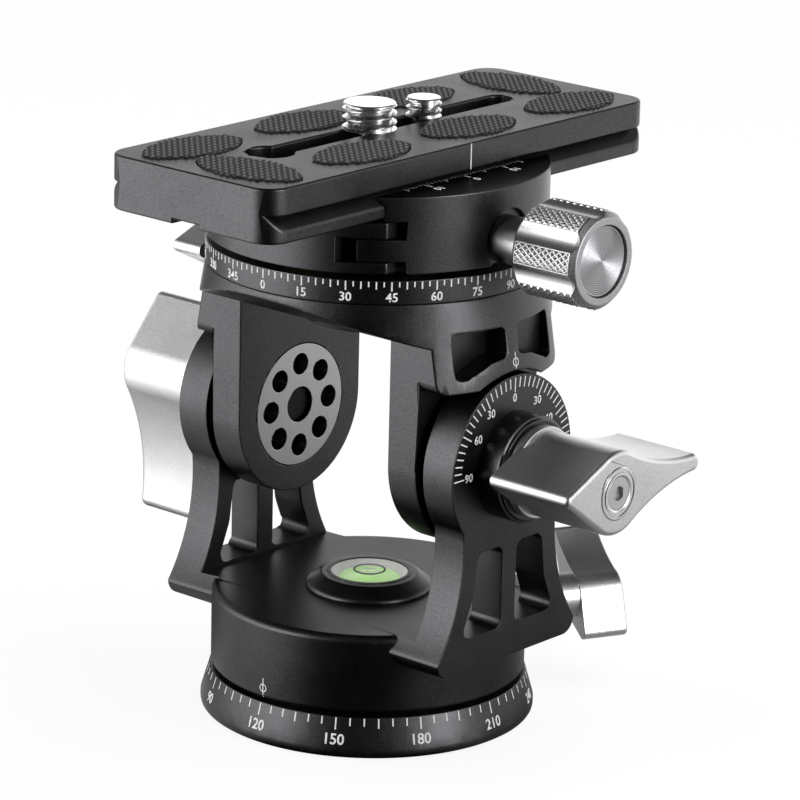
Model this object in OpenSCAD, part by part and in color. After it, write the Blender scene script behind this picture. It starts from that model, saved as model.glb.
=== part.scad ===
// Two-way pan and tilt head with a panning quick-release clamp.
// Origin: centre of the underside, on the pan axis. X is the tilt axis, Y runs along the plate, Z is up.

/* [Base] */
// Radius of the base dial
base_r = 30; // [27:0.5:33]
// Height of the base dial
base_h = 7.2; // [6.5:0.1:9]
// Height of the upright edge below the sloped scale
base_edge_h = 1.8; // [1:0.1:3]
// How far the sloped scale leans in at its top
base_slope = 1.6; // [0.8:0.1:3]
// Radius of the tripod thread, 3/8 inch
thread_r = 4.76; // [4.7:0.01:4.8]
// Depth of the tripod thread
thread_depth = 11; // [9:0.5:12]
// Radius of the steel post that the body turns on
post_r = 8; // [7:0.1:8.4]
// Radius of the flange under the post
post_flange_r = 13; // [11.5:0.5:18]
// Thickness of the flange under the post
post_flange_h = 2.6; // [2:0.1:3.2]
// Inner radius of the slide washer
washer_in_r = 14; // [13:0.5:17]
// Outer radius of the slide washer
washer_out_r = 24; // [20:0.5:25]
// Depth of the washer groove in the dial
washer_seat = 0.6; // [0.4:0.1:1]
// Thickness of the retainer on the post
retainer_h = 1.8; // [1.5:0.1:1.9]
// Radius of the retainer on the post
retainer_r = 10.2; // [9.8:0.1:10.6]
// Radius of the screw in the post
post_screw_r = 2; // [1.5:0.1:2.5]
// Height of that screw's countersunk head
post_head_h = 1.3; // [1:0.1:1.4]
// Steel left between the tripod thread and the hole for that screw
post_floor = 1.5; // [1:0.1:2]

/* [Body] */
// Radius of the turning body
body_r = 28.2; // [26.5:0.1:29]
// Height of the turning body
body_h = 14.2; // [13:0.1:16]
// Gap between the dial and the body
pan_gap = 0.55; // [0.4:0.05:1]
// Bevel on the lower rim of the body
body_bevel = 0.5; // [0.2:0.1:0.8]
// Radius of the rounded upper rim of the body
body_round = 1.3; // [0.5:0.1:2]
// Depth of the retainer pocket in the top of the body
retainer_pocket_h = 2.05; // [2:0.05:2.4]
// Height of the bush in the body
pan_bush_h = 5; // [4:0.1:5]
// Radius of the level's boss at its foot
boss_foot_r = 11.5; // [11.2:0.1:13]
// Radius of the level's boss at its top
boss_top_r = 8.7; // [8.2:0.1:9.5]
// Height of the level's boss
boss_h = 2.5; // [2.4:0.1:4]
// Radius of the level vial
vial_r = 7.5; // [6.5:0.1:7.8]
// Height of the level vial
vial_h = 2.1; // [1.5:0.1:2.2]

/* [Tilt arms] */
// Height of the tilt axis above the body
tilt_rise = 29.85; // [28.5:0.05:34]
// Distance from the middle to the outer face of an arm
arm_x = 32.3; // [31:0.1:34]
// Thickness of an arm
arm_t = 6.8; // [6:0.1:7.5]
// Radius of the round top of an arm
arm_top_r = 16; // [15:0.1:16.5]
// Half width of an arm at its foot
arm_foot_w = 18.6; // [17.5:0.1:19.5]
// Half width of an arm at its waist
arm_waist_w = 12.4; // [11.5:0.1:13.5]
// Radius of the hollow sides of an arm
arm_waist_r = 33; // [28:0.5:40]
// Distance of the waist below the tilt axis
arm_waist_drop = 13.1; // [11:0.1:15]
// How far the foot of an arm reaches below the body's top
arm_foot_drop = 5.45; // [4.5:0.05:7]
// Corner radius at the foot of an arm
arm_foot_round = 3; // [1:0.5:4]
// Distance from the middle to the inner end of an arm's foot
arm_foot_x = 16; // [13:0.5:20]
// Width of the strut between an arm's windows
strut_w = 3.9; // [3:0.1:6]
// Wall between a window and the side of an arm
window_wall = 4; // [3:0.1:5]
// Height of the lower edge of the windows above the body
window_lift = 0.55; // [0.4:0.05:2]
// Distance of the upper edge of the windows below the tilt axis
window_drop = 14.5; // [12.5:0.1:18]
// Corner radius of the windows
window_round = 1.5; // [0.5:0.1:2]

/* [Yoke] */
// Radius of the azimuth ring, of the yoke's deck under it and of the clamp over it
ring_r = 30; // [29:0.1:31]
// Outward lean of the deck's flank, per millimetre down
flank_lean = 0.16; // [0.1:0.01:0.2]
// Height of the deck's belly above the tilt axis
belly_rise = 20; // [19:0.1:22]
// Radius of the deck's bowed belly
belly_r = 54.5; // [50:0.5:70]
// Height of the deck over the lowest line of its belly
deck_h = 10.25; // [9.8:0.05:12]
// Height of the azimuth ring
ring_h = 4.25; // [3.5:0.05:6]
// Width of the azimuth ring
ring_w = 8; // [6:0.5:12]
// Half width of a leg
leg_w = 16; // [14:0.1:17]
// Thickness of a leg
leg_t = 6.5; // [5:0.1:8]
// Clearance between a leg and an arm
leg_gap = 1.5; // [1:0.1:2]
// Height of a shoulder's lower edge above the tilt axis
shoulder_rise = 14.5; // [12:0.1:16]
// Clearance between a shoulder and the round top of an arm
shoulder_gap = 0.7; // [0.4:0.1:1.2]
// Corner radius of a shoulder
shoulder_round = 2; // [0.5:0.1:3]
// Distance from the middle to the inner edge of a shoulder pocket
pocket_in = 1.5; // [1:0.1:4]
// Distance from the middle to the outer edge of a shoulder pocket
pocket_out = 12.6; // [10:0.1:13]
// Height of a shoulder pocket's lower edge above the tilt axis
pocket_low = 16.7; // [16:0.1:18]
// Height of a shoulder pocket's upper edge above the tilt axis
pocket_high = 24.6; // [23:0.1:26]
// Radius of the curve under a shoulder pocket, about the tilt axis
pocket_arc_r = 19.6; // [18.5:0.1:21]
// Depth of a shoulder pocket behind the shoulder's lower edge
pocket_depth = 5.5; // [4:0.1:7]

/* [Tilt bearing] */
// Radius of a tilt axle
axle_r = 5.1; // [4.6:0.1:5.3]
// Radius of the bore through an axle
axle_bore_r = 3.25; // [3.2:0.05:3.6]
// Radius of an axle's flange
axle_flange_r = 11.2; // [10.5:0.1:13]
// Thickness of an axle's flange
axle_flange_h = 2.2; // [1.5:0.1:3]
// Radius of the holes in an axle's flange
axle_hole_r = 2; // [1.5:0.1:2.1]
// Radius of the circle of holes in an axle's flange
axle_hole_circle = 7.6; // [7.5:0.1:8.4]
// How far an axle ends short of the arm's outer face
axle_short = 0.4; // [0.2:0.1:1]
// Outer radius of the bushes in the arms
tilt_bush_r = 7; // [6.2:0.1:8]
// Radius of the flange on those bushes, between an arm and a leg
tilt_bush_flange_r = 9.6; // [8.5:0.1:12]

/* [Wing knobs] */
// Radius of the hub of a large knob
knob_hub_r = 7.5; // [6.8:0.1:8]
// Length of a large knob's tail from its axis
knob_tail = 13.6; // [12:0.1:15]
// Radius of the end of a large knob's tail
knob_tail_r = 1.3; // [0.8:0.1:2]
// Angle by which a large knob's tail is turned out of line with its wing
knob_tail_turn = 8; // [0:1:12]
// Length of the tilt knob's wing from its axis
tilt_wing = 22.7; // [20:0.1:24]
// Length of the drag knob's wing from its axis
drag_wing = 27.4; // [22:0.1:28]
// Radius of the end of a large knob's wing
knob_tip_r = 1.6; // [1.2:0.1:2]
// Radius of the hollow between the hub and the wing of a large knob
knob_waist_r = 38; // [30:1:50]
// Length of the tilt knob along its axis
tilt_l = 17.3; // [13:0.1:18]
// Length of the drag knob along its axis
drag_l = 16.4; // [13:0.1:18]
// Gap from the arm to the tilt knob's wing
tilt_standoff = 6; // [5.8:0.1:9]
// Gap from the arm to the drag knob's wing
drag_standoff = 6.3; // [5.8:0.1:9]
// Radius of the neck behind a large knob
knob_neck_r = 8.1; // [6:0.1:8.7]
// Radius of the collar on an arm
collar_r = 9.5; // [9.2:0.1:11]
// Height of the collar on an arm
collar_h = 5.1; // [4.8:0.1:5.2]
// Height of the collar's wide foot
collar_foot_h = 4.5; // [2.5:0.1:4.6]
// Width of the step between the collar's foot and its top
collar_step = 0.5; // [0.3:0.1:0.7]
// Radius of a large knob's screw stem
stem_r = 3; // [2.5:0.05:3.05]
// Length of a large knob's stem inside the arm and the yoke
stem_reach = 14; // [10:0.5:16]
// Radius of the turned cap in a large knob's face
cap_r = 4.7; // [4.3:0.1:5.8]
// Thickness of the turned cap
cap_h = 1.6; // [1.2:0.1:2]
// How far the turned cap stands out of the knob's face
cap_proud = 0.2; // [0.1:0.05:0.4]
// Radius of the socket screw's head in the cap
cap_screw_r = 2.9; // [2.4:0.1:3.2]
// Height of that screw's head
cap_screw_h = 1; // [0.8:0.1:1.1]
// Length of that screw below the cap
cap_screw_l = 3; // [2:0.1:3.4]
// Turn of the tilt knob's wing about its axis
tilt_turn = 2; // [-30:1:30]
// Turn of the drag knob's wing about its axis
drag_turn = -88; // [-120:1:-60]

/* [Small lock knobs] */
// Radius of the hub of a small knob
small_hub_r = 4.4; // [3.9:0.1:4.6]
// Length of a small knob's tail from its axis
small_tail = 9; // [7.5:0.1:9.4]
// Radius of the end of a small knob's tail
small_tail_r = 1.3; // [0.8:0.1:1.5]
// Length of a small knob's wing from its axis
small_wing = 13.5; // [11:0.1:14]
// Radius of the end of a small knob's wing
small_tip_r = 1; // [0.7:0.1:1.3]
// Radius of the hollow between the hub and the wing of a small knob
small_waist_r = 22; // [16:1:30]
// Length of the pan knob along its axis
pan_l = 8.7; // [6:0.1:9]
// Length of the top knob along its axis
top_l = 6.8; // [6:0.1:7.2]
// Radius of the neck behind a small knob
small_neck_r = 4.2; // [2.8:0.1:4.3]
// Radius of a small knob's screw stem
small_stem_r = 2; // [1.5:0.1:2.2]
// Radius of the collar under a small knob
small_collar_r = 3.7; // [3:0.1:3.8]
// How far a small collar stands out
small_collar_h = 2.4; // [1.5:0.1:2.5]
// How deep a small collar is seated
small_collar_seat = 1.6; // [1:0.1:2.5]
// Radius of a brake pad
brake_r = 2.5; // [2.3:0.1:2.6]
// Length of a brake pad
brake_l = 4; // [3:0.1:5]
// Direction of the pan knob about the pan axis
pan_knob_angle = 64; // [58:1:75]
// Height of the pan knob's axis above the body's underside
pan_knob_rise = 7.65; // [7:0.05:8.4]
// Gap from the body to the pan knob's wing
pan_standoff = 11.9; // [4:0.1:15]
// Turn of the pan knob's wing about its axis
pan_turn = 47; // [20:1:70]
// Depth of the top knob's axis below the deck's top
top_knob_drop = 3.9; // [3.85:0.05:4.4]
// Gap from the deck to the top knob's wing
top_standoff = 3.6; // [3:0.1:3.9]
// Turn of the top knob's wing about its axis
top_turn = 183; // [175:1:188]

/* [Clamp] */
// Height of the clamp's floor above its underside
floor_h = 9.7; // [9.5:0.05:11]
// Height of the jaws above the floor
jaw_h = 3.75; // [3:0.05:4.3]
// Gap between the azimuth ring and the clamp
clamp_gap = 1; // [0.6:0.1:1.5]
// Radius of the post that the clamp turns on
top_post_r = 9; // [8:0.1:10]
// Radius of the flange on that post
top_flange_r = 14; // [12:0.5:18]
// Thickness of the flange on that post
top_flange_h = 1.3; // [1:0.05:1.35]
// Radius of the retainer under the deck
top_retainer_r = 12.5; // [11:0.5:14]
// Thickness of the retainer under the deck
top_retainer_h = 1.8; // [1.2:0.1:2.6]
// Depth of that retainer's recess in the belly
top_recess = 2.2; // [2:0.1:3]
// Radius of the bolt through the clamp
bolt_r = 3; // [2.5:0.1:3.5]
// Radius of the bolt's head
bolt_head_r = 5; // [4.5:0.1:6]
// Height of the bolt's head
bolt_head_h = 3; // [2.5:0.1:3.2]
// How far the bolt's head lies below the clamp's floor
bolt_sink = 0.2; // [0.1:0.1:0.5]
// Steel left under the bolt's hole in the post
bolt_floor = 4; // [3:0.5:6]
// Thickness of the jaw at its middle
jaw_t = 6.8; // [6:0.1:8]
// Gap between the fixed fingers' ends and the jaw
finger_gap = 2.2; // [1:0.1:3]
// Length of the jaw's finger
jaw_finger_l = 6.2; // [5.4:0.1:7]
// Gap in front of the jaw's finger
slot_gap = 3.15; // [2:0.05:4]
// Thickness of the jaw's finger
jaw_finger_h = 3.9; // [3.4:0.1:4.2]
// Height of the jaw finger's middle, and of the clamp screw, above the clamp's underside
screw_rise = 4.1; // [3.9:0.05:4.2]
// Clearance round the jaw's finger and under its lip
jaw_gap = 0.1; // [0.05:0.05:0.2]
// Depth of the jaw's lip below the floor
lip_drop = 0.6; // [0.4:0.1:1]
// Radius of the clamp screw
screw_r = 2.5; // [2:0.1:2.8]
// Inner end of the clamp screw
screw_in = 5; // [4.8:0.1:8]
// Radius of the guide pins
guide_r = 1.4; // [1:0.1:1.45]
// Distance of the guide pins from the middle
guide_y = 12; // [9:0.5:13]
// Inner end of the guide pins
guide_in = 5; // [3:0.5:8]
// How far the guide pins reach into the jaw
guide_reach = 1.6; // [1.2:0.1:1.8]
// Radius of the knurled knob
grip_r = 8; // [7:0.1:8.2]
// Length of the knurled knob
grip_l = 13.8; // [11:0.1:16]
// Length of the knurled knob's neck
grip_neck_l = 6.8; // [5:0.1:9]
// Radius of the knurled knob's neck
grip_neck_r = 4.2; // [3.5:0.1:5]
// Radius of the hollow round that neck
grip_seat_r = 5.4; // [5.1:0.1:6]
// Depth of the hollow round that neck
grip_seat_h = 1.2; // [0.8:0.1:2]
// Number of scallops round the knurled knob
scallops = 6; // [4:1:8]
// Radius of a scallop
scallop_r = 3.6; // [3:0.1:5]
// Depth of a scallop
scallop_depth = 0.7; // [0.3:0.1:1]
// Bevel at the ends of the knurled knob
grip_bevel = 0.6; // [0.3:0.1:1]
// Radius of the turned disc in the knurled knob's face
grip_cap_r = 6.1; // [5:0.1:6.4]
// Thickness of the turned disc
grip_cap_h = 1.2; // [0.8:0.1:2]
// Depth of the turned disc below the knob's face
grip_cap_sink = 0.5; // [0.2:0.1:0.8]

/* [Plate] */
// Width of the plate
plate_w = 38.2; // [37:0.1:39]
// Length of the plate
plate_l = 100; // [85:1:120]
// Thickness of the plate
plate_h = 9.5; // [9:0.1:11]
// Offset of the plate's middle from the pan axis
plate_x = 1.46; // [1.2:0.01:1.7]
// Corner radius of the plate
plate_round = 4.4; // [2:0.1:6]
// Height of the lip under the dovetail
dovetail_lip = 2.1; // [1.6:0.1:2.4]
// Depth of the dovetail groove
dovetail_depth = 2.6; // [2:0.1:3]
// Radius of the cutter's run at the closed ends of the grooves
groove_end_r = 10; // [8:0.5:12]
// Distance of a groove's closed end from the plate's end
groove_end = 4.8; // [4:0.1:10]
// Width of the screw slot
slot_w = 5; // [4.95:0.05:5.4]
// Half length of the screw slot, between the centres of its ends
slot_half = 30.5; // [27:0.5:33]
// Radius of the keyhole at the slot's end
keyhole_r = 4.2; // [3.5:0.1:4.6]
// Distance of the keyhole from the plate's middle
keyhole_y = 29.6; // [27:0.1:32]
// Width of the channel for the screw heads
head_channel_w = 15.4; // [15:0.1:17]
// Depth of the channel for the screw heads
head_channel_h = 4.2; // [4.1:0.1:4.6]
// Width of the shallow groove along the underside
under_groove_w = 5.9; // [4:0.1:7]
// Depth of the shallow groove along the underside
under_groove_h = 0.8; // [0.4:0.1:1.2]
// Distance of the two pad rows from the plate's middle
pad_x = 11.1; // [11:0.1:11.4]
// Distance of a row's first pad from the plate's end
pad_row_gap = 13.1; // [12.5:0.1:14]
// Distance of a crosswise pad from the plate's end
pad_end_gap = 8.7; // [8:0.1:9]
// Distance of a crosswise pad from the plate's middle line
pad_end_x = 6.2; // [6:0.1:6.6]
// How much nearer a crosswise pad lies to its row than the row's pads to each other
pad_close = 0.2; // [0:0.1:1]
// Width of a rubber pad
pad_w = 12; // [11:0.1:12]
// Length of a rubber pad
pad_l = 22; // [18:0.1:22.4]
// Radius of a pad's long sides
pad_side_r = 14.5; // [13:0.5:20]
// Depth of a pad's seat in the plate
pad_seat = 0.5; // [0.3:0.1:0.8]
// How far a pad stands out of the plate
pad_rise = 0.6; // [0.3:0.1:1]

/* [Camera screws] */
// Radius of the larger stud, 3/8 inch
stud_38_r = 4.76; // [4.7:0.01:4.8]
// Radius of the smaller stud, 1/4 inch
stud_14_r = 3.175; // [3.1:0.005:3.2]
// How far the larger stud stands out
stud_38_h = 4.8; // [4:0.1:6]
// How far the smaller stud stands out
stud_14_h = 3.5; // [3:0.1:5]
// Radius of a stud's neck in the slot
neck_r = 2.35; // [2:0.05:2.4]
// Radius of a screw head
head_r = 6.7; // [6:0.1:6.9]
// Height of a screw head
head_h = 2.6; // [2:0.1:2.7]
// Thickness of the washer over a screw head
head_washer_h = 0.7; // [0.4:0.1:0.8]
// Place of the larger stud along the plate
stud_38_y = -4.3; // [-20:0.1:-4]
// Place of the smaller stud along the plate
stud_14_y = 10; // [9.8:0.1:25]

/* [Clearances] */
// Radial clearance of a running fit
run_gap = 0.05; // [0.02:0.01:0.08]
// Radial clearance of a fixed fit
seat_gap = 0.03; // [0.02:0.01:0.05]
// Clearance between turning faces
face_gap = 0.05; // [0.05:0.01:0.1]
// Radial clearance round a stem that passes through a piece
stem_gap = 0.3; // [0.2:0.05:0.4]

/* [Hidden] */
$fn = 96;
past = 1;
black = "#1d1d1f";
soft_black = "#141415";
silver = "#b8babd";
steel = "#9a9ca0";
brass = "#b59a5c";
green = "#8fd07a";

body_z = base_h + pan_gap;
body_top = body_z + body_h;
tilt_z = body_top + tilt_rise;
retainer_pocket_z = body_top - retainer_pocket_h;
post_top = retainer_pocket_z + face_gap;
bush_wall = 2;
bush_clear = 0.6;
brake_room = 2;
pan_knob_z = body_z + pan_knob_rise;
vial_sink = 0.15;

arm_in = arm_x - arm_t;
arm_foot_z = body_top - arm_foot_drop;
arm_waist_z = tilt_z - arm_waist_drop;
arm_waist_y = arm_waist_w + arm_waist_r;
window_z0 = body_top + window_lift;
window_z1 = tilt_z - window_drop;

tilt_face = arm_x + tilt_standoff + tilt_l;
drag_face = arm_x + drag_standoff + drag_l;

leg_out = arm_in - leg_gap;
leg_in = leg_out - leg_t;
belly_z = tilt_z + belly_rise;
deck_top = belly_z + deck_h;
ring_in_r = ring_r - ring_w;
ring_top = deck_top + ring_h;
shoulder_z = tilt_z + shoulder_rise;
shoulder_r = ring_r + flank_lean * (deck_top - shoulder_z);
pocket_floor = shoulder_r - pocket_depth;
top_knob_z = deck_top - top_knob_drop;
top_knob_r = ring_r + flank_lean * (deck_top - top_knob_z);
top_bush_z = top_knob_z + brake_r + bush_clear;

clamp_r = ring_r;
clamp_z = ring_top + clamp_gap;
floor_z = clamp_z + floor_h;
jaw_top = floor_z + jaw_h;
screw_z = clamp_z + screw_rise;
jaw_wall = clamp_r - jaw_t;
finger_end = jaw_wall - finger_gap;
jaw_finger_end = jaw_wall - jaw_finger_l;
guide_out = jaw_wall + guide_reach;
lip_z = floor_z - lip_drop;
finger_z0 = screw_z - jaw_finger_h / 2;
finger_z1 = screw_z + jaw_finger_h / 2;
top_seat_z = belly_z + top_recess;
top_retainer_z = top_seat_z - face_gap - top_retainer_h;
grip_seat_x = clamp_r - grip_seat_h;
grip_x = clamp_r + grip_neck_l;

plate_z = floor_z + face_gap;
plate_top = plate_z + plate_h;
groove_z0 = plate_z + dovetail_lip;
groove_z1 = groove_z0 + dovetail_depth;
groove_stop = plate_l / 2 - groove_end;
head_top = plate_z + head_channel_h - face_gap;
pad_end_y = plate_l / 2 - pad_end_gap;
pad_row_y = plate_l / 2 - pad_row_gap;
row_pads = 3;
pad_pitch = (pad_row_y + pad_l / 2 + pad_end_y - pad_w / 2 + pad_close) / row_pads;
// Pads as [x, y, turn]; each place has its twin half a turn round the plate's middle
pad_half = [[-pad_x, -pad_row_y, 0], [-pad_x, pad_pitch - pad_row_y, 0],
            [-pad_x, 2 * pad_pitch - pad_row_y, 0], [pad_end_x, -pad_end_y, 90]];
pad_places = concat(pad_half, [for (p = pad_half) [-p[0], -p[1], p[2]]]);
pads = len(pad_places);

PAD_NODES = [for (i = [1:8]) str("pad_", i)];

// Turns children built along +X to point along a direction at a height
module facing(angle, z) {
    translate([0, 0, z]) rotate([0, 0, angle]) children();
}

// Round bar along +X
module bar(r, x0, x1) {
    translate([x0, 0, 0]) rotate([0, 90, 0]) cylinder(r = r, h = x1 - x0);
}

// Upright tube
module tube(r_out, r_in, z0, z1) {
    translate([0, 0, z0]) difference() {
        cylinder(r = r_out, h = z1 - z0);
        translate([0, 0, -past]) cylinder(r = r_in, h = z1 - z0 + 2 * past);
    }
}

// Tube along +X
module bar_tube(r_out, r_in, x0, x1) {
    difference() {
        bar(r_out, x0, x1);
        bar(r_in, x0 - past, x1 + past);
    }
}

// Extrudes an outline drawn in Y and Z from x0 to x1
module slab_x(x0, x1) {
    translate([x0, 0, 0]) rotate([90, 0, 90]) linear_extrude(x1 - x0) children();
}

// Upright panel outline with rounded lower corners
module panel(half_w, z0, z1, r) {
    translate([-half_w, z0 + r]) square([2 * half_w, z1 - z0 - r]);
    translate([r - half_w, z0]) square([2 * (half_w - r), z1 - z0]);
    for (s = [-1, 1]) translate([s * (half_w - r), z0 + r]) circle(r = r);
}

// Base dial with its sloped scale face, washer groove and post seat
module base_dial() {
    foot_bevel = 0.5;
    color(black) difference() {
        rotate_extrude() polygon([[0, 0], [base_r - foot_bevel, 0], [base_r, foot_bevel],
            [base_r, base_edge_h], [base_r - base_slope, base_h], [0, base_h]]);
        translate([0, 0, -past]) cylinder(r = post_r + seat_gap, h = base_h + 2 * past);
        translate([0, 0, -past]) cylinder(r = post_flange_r + seat_gap, h = post_flange_h + past);
        tube(washer_out_r + seat_gap, washer_in_r - seat_gap, base_h - washer_seat, base_h + past);
    }
}

// Steel post with the blind tripod thread
module pan_post() {
    screw_hole_z = thread_depth + post_floor;
    color(steel) difference() {
        union() {
            cylinder(r = post_flange_r, h = post_flange_h);
            cylinder(r = post_r, h = post_top);
        }
        translate([0, 0, -past]) cylinder(r = thread_r, h = thread_depth + past);
        translate([0, 0, screw_hole_z]) cylinder(r = post_screw_r + seat_gap, h = post_top);
    }
}

module pan_washer() {
    color(brass) tube(washer_out_r, washer_in_r, base_h - washer_seat, body_z - face_gap);
}

// Disc that keeps the body on the post
module pan_retainer() {
    color(steel) translate([0, 0, post_top]) difference() {
        cylinder(r = retainer_r, h = retainer_h);
        translate([0, 0, -past]) cylinder(r = post_screw_r + seat_gap, h = retainer_h + 2 * past);
        screw_head(seat_gap, past);
    }
}

// Countersunk head of the post screw, grown by a clearance and carried on upward
module screw_head(grow, rise) {
    rim_r = post_screw_r + post_head_h + grow;
    translate([0, 0, retainer_h - post_head_h]) rotate_extrude() polygon([[0, 0], [post_screw_r + grow, 0],
        [rim_r, post_head_h], [rim_r, post_head_h + rise], [0, post_head_h + rise]]);
}

module post_screw() {
    socket_r = 1.2;
    socket_h = 1;
    end_gap = 0.5;
    screw_l = post_top - thread_depth - post_floor - end_gap;
    color(steel) translate([0, 0, post_top]) difference() {
        union() {
            screw_head(0, 0);
            translate([0, 0, -screw_l])
                cylinder(r = post_screw_r, h = screw_l + retainer_h - post_head_h / 2);
        }
        translate([0, 0, retainer_h - socket_h]) cylinder(r = socket_r, h = socket_h + past, $fn = 6);
    }
}

// Side outline of an arm: round top, hollow sides and a wide foot
module arm_outline() {
    translate([0, tilt_z]) circle(r = arm_top_r);
    difference() {
        panel(arm_foot_w, arm_foot_z, tilt_z, arm_foot_round);
        for (s = [-1, 1]) translate([s * arm_waist_y, arm_waist_z]) circle(r = arm_waist_r);
    }
}

// One window beside the strut; its outer side keeps an even wall to the arm's hollow side
module window_outline() {
    offset(r = window_round, $fn = 24) offset(delta = -window_round) difference() {
        translate([strut_w / 2, window_z0]) square([arm_foot_w, window_z1 - window_z0]);
        translate([arm_waist_y, arm_waist_z]) circle(r = arm_waist_r + window_wall);
    }
}

// Half section of the body: bevelled lower rim and rounded upper rim
module body_section() {
    polygon([[0, body_z], [body_r - body_bevel, body_z], [body_r, body_z + body_bevel],
        [body_r, body_top - body_round], [body_r - body_round, body_top - body_round],
        [body_r - body_round, body_top], [0, body_top]]);
    intersection() {
        translate([body_r - body_round, body_top - body_round]) circle(r = body_round);
        translate([body_r - body_round, body_top - body_round]) square(body_round);
    }
}

// Turning body with its two tilt arms
module fork() {
    color(black) difference() {
        union() {
            rotate_extrude() body_section();
            for (s = [0, 180]) facing(s, 0) {
                slab_x(arm_in, arm_x) arm_outline();
                slab_x(arm_foot_x, arm_x) intersection() {
                    arm_outline();
                    translate([-arm_foot_w, arm_foot_z]) square([2 * arm_foot_w, arm_foot_drop]);
                }
            }
        }
        translate([0, 0, body_z - past]) cylinder(r = post_r + stem_gap, h = body_h + 2 * past);
        translate([0, 0, body_z - past])
            cylinder(r = post_r + bush_wall + seat_gap, h = pan_bush_h + seat_gap + past);
        translate([0, 0, retainer_pocket_z])
            cylinder(r = retainer_r + stem_gap, h = retainer_pocket_h + past);
        for (s = [-1, 1]) slab_x(-arm_x - past, arm_x + past) scale([s, 1]) window_outline();
        facing(0, tilt_z) bar(tilt_bush_r + seat_gap, -arm_x - past, arm_x + past);
        facing(pan_knob_angle, pan_knob_z) {
            bar(small_stem_r + stem_gap, 0, body_r + past);
            bar(brake_r + run_gap, 0, post_r + brake_l + brake_room);
            bar(small_collar_r + seat_gap, body_r - small_collar_seat, body_r + past);
        }
    }
}

module pan_bush() {
    color(brass) tube(post_r + bush_wall, post_r + run_gap, body_z, body_z + pan_bush_h);
}

// Sloped boss that holds the level and closes the retainer pocket
module level_boss() {
    foot_h = 0.75;
    foot_lean = 0.3;
    vial_floor = boss_h + vial_sink - vial_h;
    color(black) translate([0, 0, body_top]) difference() {
        rotate_extrude() polygon([[0, 0], [boss_foot_r, 0], [boss_foot_r - foot_lean, foot_h],
            [boss_top_r, boss_h], [0, boss_h]]);
        translate([0, 0, vial_floor]) cylinder(r = vial_r + seat_gap, h = boss_h);
    }
}

module level_vial() {
    color(green) translate([0, 0, body_top + boss_h + vial_sink - vial_h])
        cylinder(r = vial_r, h = vial_h);
}

// Flanged bush in an arm, filling the gap beside a leg
module tilt_bush(angle) {
    flange_x = leg_out + face_gap;
    color(brass) facing(angle, tilt_z) difference() {
        union() {
            bar(tilt_bush_r, flange_x, arm_x);
            bar(tilt_bush_flange_r, flange_x, arm_in);
        }
        bar(axle_r + run_gap, flange_x - past, arm_x + past);
    }
}

// Stepped collar between an arm and its knob
module tilt_collar(angle) {
    color(soft_black) facing(angle, tilt_z) difference() {
        union() {
            bar(collar_r, arm_x, arm_x + collar_foot_h);
            bar(collar_r - collar_step, arm_x, arm_x + collar_h);
        }
        bar(stem_r + stem_gap, arm_x - past, arm_x + collar_h + past);
    }
}

// Collar in which a small knob turns; x is the radius of the face that it stands on
module small_collar(x) {
    color(soft_black)
        bar_tube(small_collar_r, small_stem_r + stem_gap, x - small_collar_seat, x + small_collar_h);
}

module pan_collar() {
    facing(pan_knob_angle, pan_knob_z) small_collar(body_r);
}

// Outline of a wing knob: round hub, hollow-sided wing along +X and straight-sided tail along -X, turned
// out of line by tail_turn; its sides cross the round ends by a hair instead of only touching them
module wing_outline(hub_r, tail, tail_r, tail_turn, wing, tip_r, waist_r) {
    bite = 0.02;
    tail_c = tail - tail_r;
    lean = acos((hub_r - tail_r) / tail_c);
    tip_c = wing - tip_r;
    waist_x = (tip_c * tip_c + pow(hub_r + waist_r, 2) - pow(tip_r + waist_r, 2)) / (2 * tip_c);
    waist_y = sqrt(pow(hub_r + waist_r, 2) - waist_x * waist_x);
    circle(r = hub_r);
    translate([tip_c, 0]) circle(r = tip_r);
    rotate(-tail_turn) {
        translate([-tail_c, 0]) circle(r = tail_r);
        for (s = [-1, 1]) scale([1, s])
            polygon([[0, 0], [-(hub_r - bite) * cos(lean), (hub_r - bite) * sin(lean)],
                [-tail_c - (tail_r - bite) * cos(lean), (tail_r - bite) * sin(lean)], [-tail_c, 0]]);
    }
    for (s = [-1, 1]) scale([1, s]) difference() {
        polygon([[0, 0], [tip_c, 0], [waist_x, waist_y]]);
        translate([waist_x, waist_y]) circle(r = waist_r + bite, $fn = 180);
    }
}

// Large wing knob on the axis of an arm
module large_knob(wing, standoff, length, turn, tail_turn) {
    x0 = arm_x + standoff;
    x1 = x0 + length;
    neck_x = arm_x + collar_h + face_gap;
    color(silver) rotate([turn, 0, 0]) difference() {
        union() {
            slab_x(x0, x1) wing_outline(knob_hub_r, knob_tail, knob_tail_r, tail_turn,
                wing, knob_tip_r, knob_waist_r);
            bar(knob_neck_r, neck_x, x0 + past);
        }
        bar(stem_r + seat_gap, neck_x - past, x0 + length / 2);
        bar(cap_screw_r / 2 + seat_gap, x0, x1);
        bar(cap_r + seat_gap, x1 - cap_h, x1 + past);
    }
}

module large_stem(standoff, length) {
    color(steel) bar(stem_r, arm_x - stem_reach, arm_x + standoff + length / 2);
}

// Turned cap with a seat for its screw; x1 is the place of the knob's face
module large_cap(x1) {
    color(silver) difference() {
        bar(cap_r, x1 - cap_h, x1 + cap_proud);
        bar(cap_screw_r / 2 + seat_gap, x1 - cap_h - past, x1 + past);
        bar(cap_screw_r + seat_gap, x1 - cap_screw_h, x1 + past);
    }
}

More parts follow.
